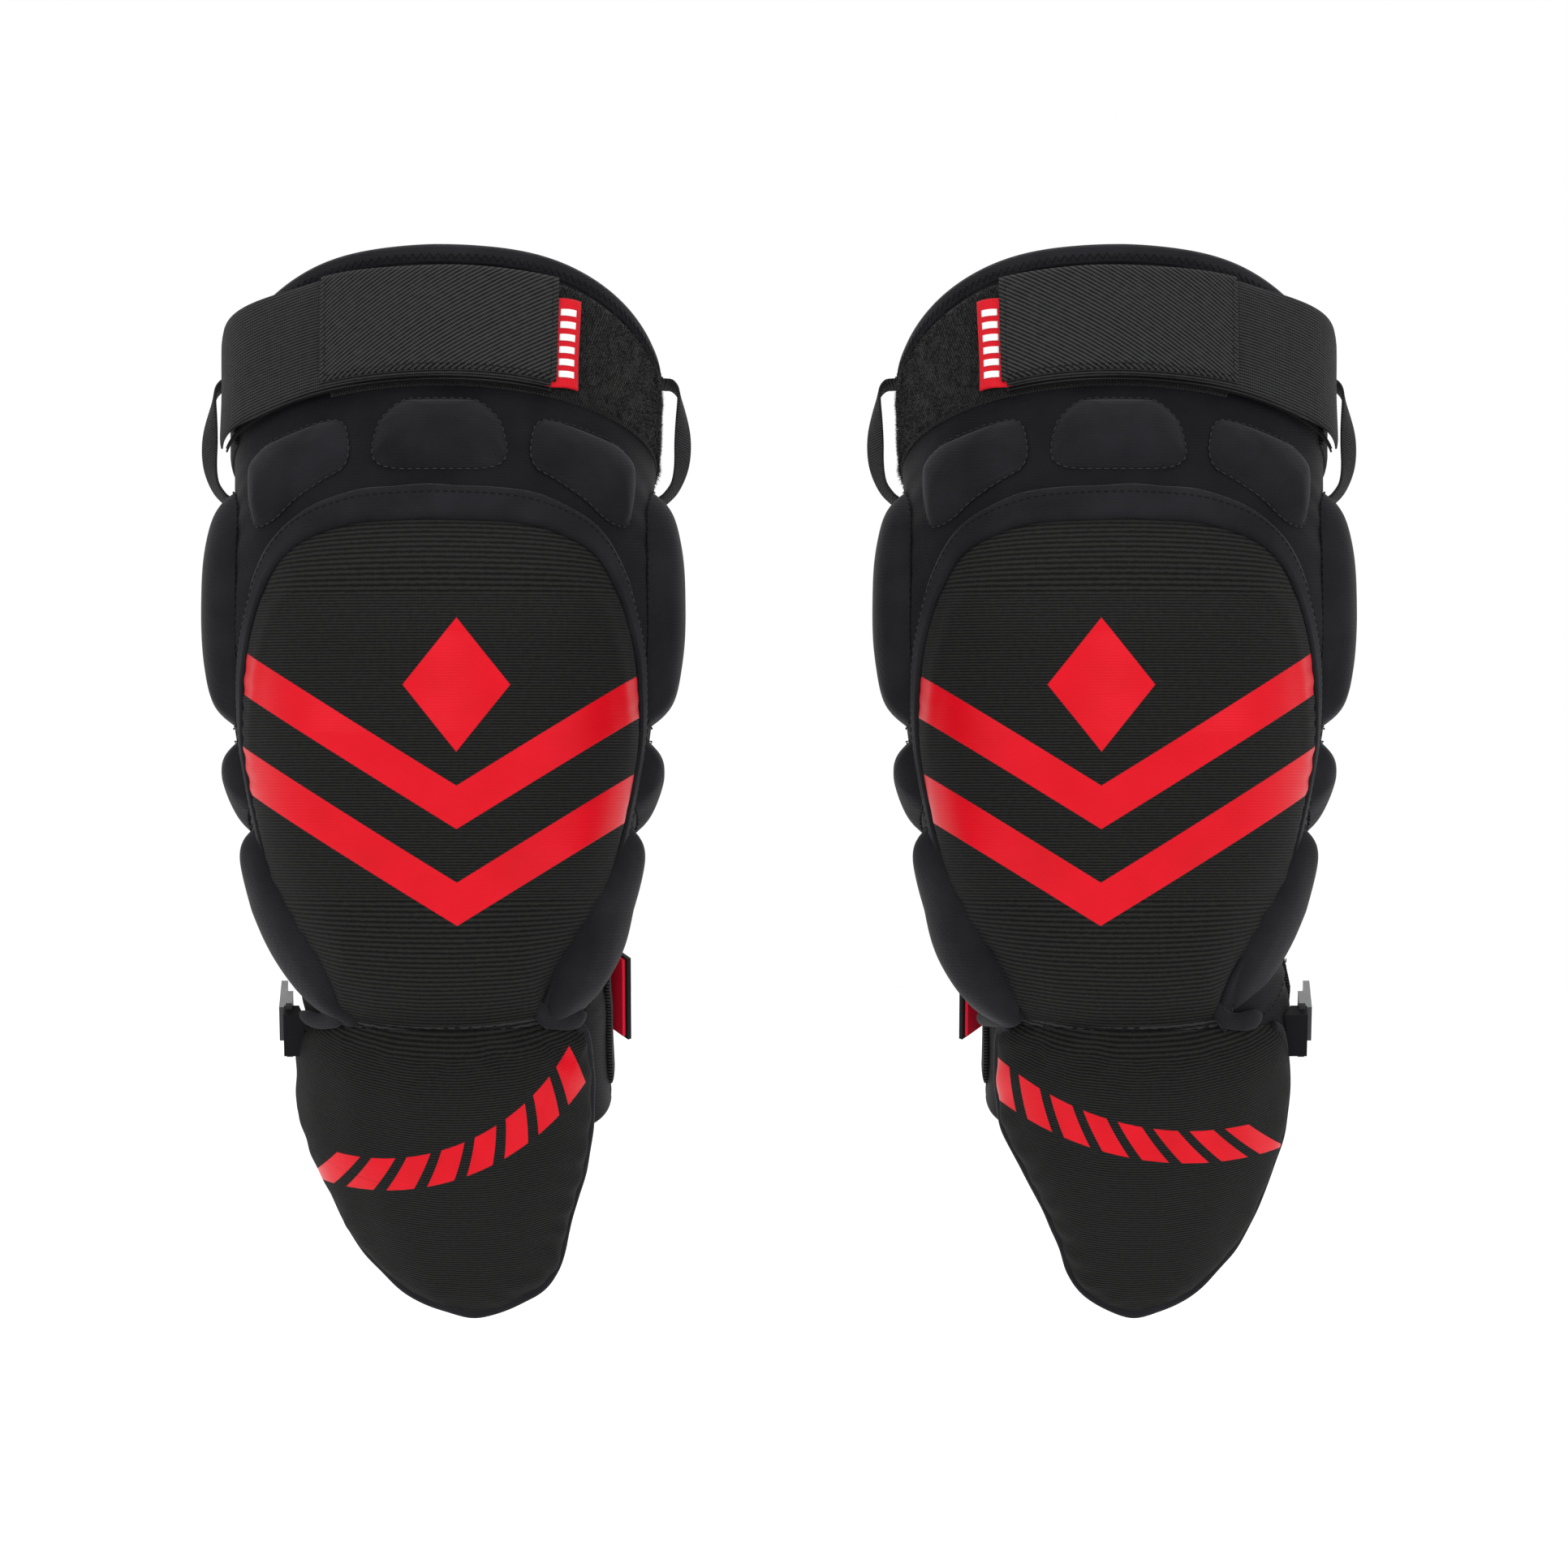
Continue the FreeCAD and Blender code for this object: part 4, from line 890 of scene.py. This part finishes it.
# --- pads -----------------------------------------------------------------------------------------
CUFF_CENTRE_PAD = [(0, 191), (16, 191), (25, 193), (28, 199), (24, 212), (15, 219), (0, 220), (-15, 219),
                   (-24, 212), (-28, 199), (-25, 193), (-16, 191)]
CUFF_SIDE_PAD = [(40, 192), (38, 201), (43, 211), (58, 208), (73, 201), (80, 192), (80.5, 178), (77.5, 168),
                 (70, 170), (60, 179), (48, 187)]
TALL_PAD = [(-16, 93), (4, 87), (25, 97), (31, 128), (27, 154), (16, 170), (4, 183), (-10, 179), (-19, 162),
            (-21, 130)]
SMALL_PAD = [(-17, 60), (-3, 51), (12, 44), (20, 58), (14, 78), (-14, 81)]
LOW_PAD = [(-45, -14), (-30, -16), (-3, -5), (7, 18), (1, 40), (-14, 48), (-28, 36), (-40, 12)]
PAD_RINGS = 14
PAD_AROUND = 84
PAD_START = 0.8  # the share of its height that a pad has before it swells
SIM_FRAMES = 20
SIM_CAP = 0.0035


def pad_outlines(leg):
    """Each pad's name, body, outline and thickness."""
    found = [("cuff_centre_pad", "cuff", leg.seen(*np.array(CUFF_CENTRE_PAD, float).T, off=5), 8.5)]
    for side, label_text in ((-1, "outer"), (1, "inner")):
        mirrored = np.array(CUFF_SIDE_PAD, float) * (side, 1)
        found.append((f"cuff_{label_text}_pad", "cuff", leg.seen(*mirrored.T, off=5), 9.0))
        for name, shape, thick in (("tall_pad", TALL_PAD, 11.0), ("small_pad", SMALL_PAD, 9.5),
                                   ("long_pad", LOW_PAD, 10.0)):
            y, t = np.array(shape, float).T
            found.append((f"{label_text}_{name}", "knee", leg.beside(y, t, side), thick))
    return found


def pad_shape(thick, full):
    def top(d, phi, t):
        dome = 1 - np.exp(-((d / 5.5) ** 1.2))
        return 0.35 + full * thick * dome * (1 + 0.10 * np.tanh(d / 16)), 0 * d
    return top


def level(off):
    """A side of a pad that stays at one distance off the sleeve."""
    return lambda d, phi, t: (off + 0 * d, 0 * d)


pad_under, cover_under = level(0.1), level(0.3)


def simulate(piece, spans):
    """Swells the pads with air pressure; the side that is sewn to the sleeve and the rim stay put."""
    mesh = piece.data
    count = len(mesh.vertices)
    rest = np.empty(count * 3)
    mesh.vertices.foreach_get("co", rest)
    rest = rest.reshape(-1, 3)
    sewn = piece.vertex_groups.new(name="sewn")
    for _, _, first, last, _ in spans:
        above = PAD_RINGS * PAD_AROUND
        sewn.add(list(range(first + above - PAD_AROUND, first + 2 * above)) + [last - 1], 1.0, "REPLACE")
    cloth = piece.modifiers.new("inflate", "CLOTH")
    cloth.settings.use_pressure = True
    cloth.settings.uniform_pressure_force = 4.0
    cloth.settings.quality = 4
    cloth.settings.vertex_group_mass = "sewn"
    cloth.settings.effector_weights.gravity = 0.0
    cloth.collision_settings.use_collision = False
    scene = bpy.context.scene
    for number in range(1, SIM_FRAMES + 1):
        scene.frame_set(number)
    swollen = piece.evaluated_get(bpy.context.evaluated_depsgraph_get()).to_mesh()
    moved = np.empty(count * 3)
    swollen.vertices.foreach_get("co", moved)
    piece.modifiers.remove(cloth)
    scene.frame_set(1)
    shift = moved.reshape(-1, 3) - rest
    reach = np.linalg.norm(shift, axis=1)[:, None]
    shift *= np.minimum(1, SIM_CAP / np.maximum(reach, 1e-9))
    return rest + shift


def subdivided(piece):
    """Smooths a piece by one level of subdivision."""
    divide = piece.modifiers.new("divide", "SUBSURF")
    divide.levels = 1
    made = bpy.data.meshes.new_from_object(piece.evaluated_get(bpy.context.evaluated_depsgraph_get()))
    piece.modifiers.clear()
    old = piece.data
    piece.data = made
    bpy.data.meshes.remove(old)


def pads(legs):
    """Makes the pads of one guard with a cloth simulation, and mirrors them for the other."""
    leg = legs[0]
    solid = Solid()
    spans = []
    for name, body, points, thick in pad_outlines(leg):
        first, face = solid.count, len(solid.faces)
        pad(solid, leg, smooth(points, PAD_AROUND), PAD_RINGS,
            pad_shape(thick, PAD_START), pad_under)
        spans.append((name, body, first, solid.count, solid.faces[face:]))
    whole = solid.make("all_pads", PAD_NEO)
    places = simulate(whole, spans)
    bpy.data.objects.remove(whole)
    for name, body, first, last, faces in spans:
        for other in legs:
            mesh = bpy.data.meshes.new(f"{other.side}_{name}")
            flip = (1, 1, 1) if other is leg else (-1, 1, 1)
            mesh.from_pydata((places[first:last] * flip).tolist(), [],
                             [[v - first for v in face] for face in faces])
            mesh.polygons.foreach_set("use_smooth", [True] * len(mesh.polygons))
            piece = finish_mesh(mesh, f"{other.side}_{name}", PAD_NEO, None)
            subdivided(piece)
            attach(piece, f"{other.side}_{body}")
            node_name = "cuff_pads" if body == "cuff" else f"{name.split('_')[0]}_side_pads"
            stand_in(piece, other.side, "padded_neoprene", node_name)
    for other in legs:
        for body in ("cuff", "knee"):
            rows = Solid()
            for name, owner_body, points, thick in pad_outlines(other):
                if owner_body == body:
                    stitches(rows, other, smooth(points, 160), across=0.0, off=0.5, length=2.0, gap=1.2,
                             radius=0.28)
            rows.make(f"{other.side}_{body}_pad_stitches", THREAD if body == "cuff" else DARK_THREAD,
                      f"{other.side}_{body}")


# --- knee -----------------------------------------------------------------------------------------
CUP_SIDE = [(38.5, -27.5), (46, -9), (57, 8), (67, 29), (76, 67), (78.5, 92), (76.5, 120), (69, 145),
            (58, 160), (38, 168.5), (15, 171)]
CUP_FOOT_DIP = 3.5
BORDER = 6.4
COVER_THICKNESS = 5.2
CUP_RISE = ([-38, -25, 0, 40, 85, 125, 155, 175], [0, 3.5, 11, 20, 24, 21.5, 12, 3])


def cup_outline(leg, count=360):
    right = np.array(CUP_SIDE, float)
    top = smooth(np.concatenate([right, right[::-1] * (-1, 1)]), count - 50, closed=False)
    foot_x = np.linspace(top[-1, 0], top[0, 0], 52)[1:-1]
    foot = np.stack([foot_x, top[0, 1] - CUP_FOOT_DIP * (1 - (foot_x / top[0, 0]) ** 2)], -1)
    return leg.seen(*np.concatenate([top, foot]).T, off=1.0), len(top)


def cup_top():
    """How far the cup's cover stands off the sleeve, and its rise; d is the distance from its edge."""
    def top(d, phi, t):
        a = along(phi)
        edge = 1 - np.exp(-((d / 4.5) ** 1.3))
        rise = np.interp(t, *CUP_RISE) * (1 - np.exp(-((d / 13.0) ** 1.5)))
        ridge = 0.9 * np.exp(-(((d - 12.5) / 3.2) ** 2)) * step(t, 60, 110)
        off = 0.6 + COVER_THICKNESS * edge + ridge
        gather = np.exp(-(d / 9.0) ** 2) * step(np.abs(phi), 0.5, 0.9)
        pleat = np.sin(2 * np.pi * (t + 3 * ripple(a, t, 50, 31)) / 6.5)
        pleat = pleat * np.clip(ripple(a * 0.2, t, 55, 32) + 0.5, 0, 1)
        slack = np.exp(-((t + 8) / 22.0) ** 2)
        off = off + 0.75 * gather * pleat * edge * step(d, 0.4, 3)
        off = off + 0.35 * ripple(a, t, 42, 33) * edge
        off = off + 0.6 * slack * ripple(a, t * 2, 30, 34) * edge
        return off, rise
    return top


def knee_cover(leg):
    body = f"{leg.side}_knee"
    outline, _ = cup_outline(leg)
    solid = Solid()
    pad(solid, leg, outline, 78, cup_top(), cover_under)
    piece = solid.make(f"{leg.side}_cup_cover", printed_knit(f"{leg.side}_cup_knit", cup_print(leg)), body)
    stand_in(piece, leg.side, "ribbed_knit", "knee_cover", "knee_shell", "knee_foam")


def knee_border(leg):
    """The padded border round the cover: a rolled inner edge, a flat band and a line of stitches."""
    body = f"{leg.side}_knee"
    outline, open_end = cup_outline(leg)
    path = outline[:open_end]
    section = [(-1.2, 0.4), (-1.5, 1.6), (-0.9, 2.7), (0.3, 3.0), (1.5, 2.5), (3.4, 2.3), (5.4, 1.9),
               (BORDER + 0.2, 1.1), (BORDER + 0.6, 0.2)]
    solid = Solid()
    border(solid, leg, path, section, False, wave=0.35)
    piece = solid.make(f"{leg.side}_cup_border", PAD_NEO, body)
    stand_in(piece, leg.side, "padded_neoprene", "knee_piping")
    rows = Solid()
    stitches(rows, leg, path, across=BORDER - 1.3, off=1.95, closed=False, length=2.0, gap=1.1, radius=0.22)
    rows.make(f"{leg.side}_cup_border_stitches", DARK_THREAD, body)


FOLD_PATH = [(39, -21), (40.5, -25.5), (44, -28.3), (49, -29.2), (54, -28.4), (58, -26.5)]


def fold_corners(leg):
    """Where the border's foot turns outwards into a soft fold that lies on the shin plate's top corner."""
    solid = Solid()
    for side in (-1, 1):
        path = smooth(np.array(FOLD_PATH, float) * (side, 1), 40, closed=False)
        spots = leg.seen(path[:, 0], path[:, 1], off=3.0)
        share = np.linspace(0, 1, 40)
        thick = 2.3 * np.sqrt(np.clip(1 - (2 * share - 1) ** 4, 0.06, 1)) * (1 + 0.12 * np.sin(9 * share))
        p, across = edge_frame(spots, False)
        rings = []
        for turn in np.linspace(0, 2 * np.pi, 14, endpoint=False):
            q = p + across * (1.25 * thick * np.cos(turn))[:, None]
            rings.append(leg.place(angle(q[:, 0]), q[:, 1], 2.2 + thick * np.sin(turn)))
        solid.tube(np.stack(rings, 1), False)
    piece = solid.make(f"{leg.side}_fold_corners", PAD_NEO, f"{leg.side}_knee")


def over_lower_bend(piece):
    """Bakes a piece's placement into its mesh."""
    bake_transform(piece)


def sleeve_lower(leg):
    """The lower part of the sleeve, from the side pads over the lower bend to the calf."""
    end = -5.0 - 62.0
    t = np.linspace(SLEEVE_SPLIT, end, 120)[:, None]
    limit = np.radians(np.interp(t, [-67, -10, 0, 15, SLEEVE_SPLIT], [90, 90, 92, 98, 106]))
    phi = np.linspace(-1, 1, 161)[None] * limit
    t = t + 0 * phi
    near = np.exp(-((t + 6) / 14.0) ** 2) * step(np.abs(phi), 0.75, 1.3)
    off = -0.8 * near * (0.5 + 0.5 * np.sin(2 * np.pi * t / 9.0)) + 0.3 * ripple(along(phi), t, 36, 51)
    solid = Solid()
    solid.slab(leg.place(phi, t, off), leg.place(phi, t, off - NEOPRENE), np.stack([along(phi), t], -1))
    piece = solid.make(f"{leg.side}_sleeve_lower", NEO)
    over_lower_bend(piece)


def fold_strip(leg):
    """The stretch fabric in the crease between the cup's foot and the shin cover."""
    x = np.linspace(-41, 41, 70)
    rows = []
    for z, off in ((-20, 0.6), (-24, 0.8), (-27, 0.7), (-30, 0.3), (-32, 0.0), (-34, 0.3), (-37, 0.8),
                   (-41, 0.8), (-46, 0.6)):
        spot = leg.seen(x, np.full(len(x), float(z)) - 1.5 + 2.5 * (x / 41) ** 2, off=off)
        rows.append((spot, off + 0.25 * np.sin(x * 1.3 + z)))
    outer = np.stack([leg.place(s[:, 0], s[:, 1], o) for s, o in rows])
    inner = np.stack([leg.place(s[:, 0], s[:, 1], o - 1.2) for s, o in rows])
    solid = Solid()
    solid.slab(outer, inner, np.stack([np.stack([along(s[:, 0]), s[:, 1]], -1) for s, _ in rows]))
    piece = solid.make(f"{leg.side}_crease", RIBBED)
    over_lower_bend(piece)


# --- shin -----------------------------------------------------------------------------------------
# The shin cover's outline on each guard, from its top to its tip: height, outer reach and inner reach.
SHIN_HEIGHTS = (-30.5, -33, -52, -72, -88, -100, -115, -130, -141)
SHIN_REACHES = {
    "right": ((53, 56, 58, 55, 50, 44, 37, 25, 11), (53, 57, 59, 58.5, 56, 52.5, 48.5, 44.5, 33), (12, -148)),
    "left": ((62, 66, 69, 67.5, 63, 58.5, 52, 41, 28), (42, 46, 46.5, 44, 36, 30, 23, 17.5, 9), (-8.7, -148)),
}
SHIN_BORDER = 5.0
SHIN_RISE = ([-141, -120, -98, -71, -34, -4], [0.5, 2.5, 5, 6.5, 7, 3])


def shin_outline(leg, count=320):
    """The shin cover's outline in the front view: a nearly straight top and a round tip."""
    outer, inner, tip = SHIN_REACHES[leg.side]
    left = [(-x, z) for x, z in zip(outer, SHIN_HEIGHTS)]
    right = list(zip(inner, SHIN_HEIGHTS))
    down = smooth(left + [tip] + right[::-1], count - 60, closed=False)
    top_x = np.linspace(down[-1, 0], down[0, 0], 62)[1:-1]
    mid = (down[0, 0] + down[-1, 0]) / 2
    dip = 2.0 * (1 - ((top_x - mid) / (down[-1, 0] - mid)) ** 2)
    top = np.stack([top_x, SHIN_HEIGHTS[0] - dip], -1)
    return leg.seen(*np.concatenate([down, top]).T, off=1.0), len(down)


def shin_top():
    def top(d, phi, t):
        a = along(phi)
        edge = 1 - np.exp(-((d / 4.2) ** 1.3))
        rise = np.interp(t, *SHIN_RISE) * (1 - np.exp(-((d / 11.0) ** 1.5)))
        sides = np.exp(-(d / 14.0) ** 2)
        folds = np.sin(2 * np.pi * (t * 0.8 + a * 0.5 * np.sign(phi) + 4 * ripple(a, t, 50, 61)) / 13.0)
        inner = step(phi, -0.1, 0.5)
        off = 0.6 + 4.6 * edge + 0.5 * ripple(a, t, 34, 62) * edge
        off = off + 0.8 * sides * folds * edge * step(d, 0.5, 4) * (0.45 + 0.55 * inner)
        off = off + 0.9 * np.exp(-((t + 20) / 9.0) ** 2) * np.sin(a / 5.0 + 2 * ripple(a, t, 25,
            63)) * edge * 0.5
        return off, rise
    return top


def shin_cover(leg):
    body = f"{leg.side}_shin"
    outline, _ = shin_outline(leg)
    solid = Solid()
    pad(solid, leg, outline, 64, shin_top(), cover_under)
    piece = solid.make(f"{leg.side}_plate_cover", printed_knit(f"{leg.side}_shin_knit", shin_print(leg)),
                       body)
    stand_in(piece, leg.side, "ribbed_knit", "shin_cover", "shin_shell", "shin_foam")


def shin_border(leg):
    body = f"{leg.side}_shin"
    outline, open_end = shin_outline(leg)
    path = outline[:open_end][::-1]
    section = [(-1.0, 0.3), (-1.3, 1.5), (-0.6, 2.6), (0.7, 2.9), (2.2, 2.6), (4.0, 2.3),
               (SHIN_BORDER, 1.4), (SHIN_BORDER + 0.6, -0.5),
               (SHIN_BORDER - 0.4, -3.0), (1.0, -3.2)]
    solid = Solid()
    border(solid, leg, path, section, False, wave=0.5, seed=9)
    piece = solid.make(f"{leg.side}_plate_border", PAD_NEO, body)
    stand_in(piece, leg.side, "padded_neoprene", "shin_piping")
    rows = Solid()
    stitches(rows, leg, path, across=SHIN_BORDER - 1.6, off=2.35, closed=False, length=2.0, gap=1.1,
             radius=0.22)
    rows.make(f"{leg.side}_plate_border_stitches", DARK_THREAD, body)
    back = Solid()
    pad(back, leg, outline, 24, level(0.25), level(-NEOPRENE), crowd=1.0)
    lining = back.make(f"{leg.side}_plate_lining", NEO, body)
    stand_in(lining, leg.side, "neoprene", "shin_sleeve")


def calf_back(leg):
    body = f"{leg.side}_shin"
    panel = ring_band(leg, f"{leg.side}_calf_mesh", -67.0, -5.0, math.radians(90), math.radians(270), -1.6,
                      0.0, MESH, body, rows=40, sag=0.5)
    stand_in(panel, leg.side, "stretch_mesh", "calf_panel")
    band = ring_band(leg, f"{leg.side}_calf_elastic", -57.0, -7.0, math.radians(82), math.radians(270 - 14),
                     0.3, 2.3, RIBBED, body, sag=0.5, seed=7)
    stand_in(band, leg.side, "ribbed_elastic", "calf_strap")


def carried_over(leg):
    """Gives the CAD nodes that stay a material."""
    for name, material in (("thigh_hook_patch", BLACK_HOOK), ("calf_tab", TAB), ("calf_tab_hook", RED_HOOK),
                           ("clip_frame", CLIP),
                           ("clip_tape", WEBBING), ("calf_clip", CLIP)):
        piece = frame["nodes"][f"{leg.side}_{name}"]
        piece.data.materials.clear()
        piece.data.materials.append(material)


# --- studio ---------------------------------------------------------------------------------------
VIEW_WIDTH = 0.618  # metres across the frame at the guards
CAMERA_DISTANCE = 4.0
SENSOR = 36.0
VIEW_ASIDE = 0.002
VIEW_HEIGHT = 0.211  # how far the middle of the frame is above the tips


def studio():
    scene = bpy.context.scene
    scene.view_settings.view_transform = "Standard"
    camera = bpy.data.cameras.new("camera")
    camera.sensor_width = SENSOR
    camera.lens = SENSOR * CAMERA_DISTANCE / VIEW_WIDTH
    camera.clip_end = 50
    holder = bpy.data.objects.new("camera", camera)
    holder.location = (VIEW_ASIDE, -CAMERA_DISTANCE - 0.06, VIEW_HEIGHT)
    holder.rotation_euler = (math.pi / 2, 0, 0)
    scene.collection.objects.link(holder)
    scene.camera = holder
    for name, place, aim, size, power in (
        ("left", (-1.7, -1.2, 0.9), (0, 0, 0.2), 1.0, 12),
        ("right", (1.7, -1.2, 0.9), (0, 0, 0.2), 1.0, 12),
        ("front", (0, -2.6, 0.8), (0, 0, 0.15), 1.0, 12),
        ("top", (0, -0.3, 1.9), (0, 0, 0.2), 1.2, 16),
        ("back", (0, 1.3, 1.4), (0, 0, 0.2), 1.2, 12),
    ):
        lamp = bpy.data.lights.new(name, "AREA")
        lamp.shape = "SQUARE"
        lamp.size = size
        lamp.energy = power
        lamp_object = bpy.data.objects.new(name, lamp)
        lamp_object.location = place
        lamp_object.rotation_euler = (Vector(aim) - Vector(place)).to_track_quat("-Z", "Y").to_euler()
        scene.collection.objects.link(lamp_object)
    world = bpy.data.worlds.new("studio")
    world.use_nodes = True
    world.node_tree.nodes["Background"].inputs["Color"].default_value = (1, 1, 1, 1)
    world.node_tree.nodes["Background"].inputs["Strength"].default_value = 1.0
    scene.world = world
    pale, _, base = shader("pale_floor", (0.9, 0.9, 0.9), 0.9)
    base.inputs["Emission Color"].default_value = (1, 1, 1, 1)
    base.inputs["Emission Strength"].default_value = 0.3
    half, ground = 14.0, -0.16
    mesh = bpy.data.meshes.new("floor")
    corners = [(x, y, ground) for x, y in ((-half, -half), (half, -half), (half, half), (-half, half))]
    mesh.from_pydata(corners, [], [(0, 1, 2, 3)])
    mesh.materials.append(pale)
    floor = bpy.data.objects.new("floor", mesh)
    scene.collection.objects.link(floor)


studio()
LEGS = [Leg("right"), Leg("left")]
for each in LEGS:
    sleeve_upper(each)
    cuff_back(each)
    binding(each)
    loop_pad(each)
    strap(each)
    pull_loop(each, -1, "outer")
    pull_loop(each, 1, "inner")
    knee_cover(each)
    knee_border(each)
    fold_corners(each)
    sleeve_lower(each)
    fold_strip(each)
    shin_cover(each)
    shin_border(each)
    calf_back(each)
    carried_over(each)
pads(LEGS)
bpy.context.view_layer.update()
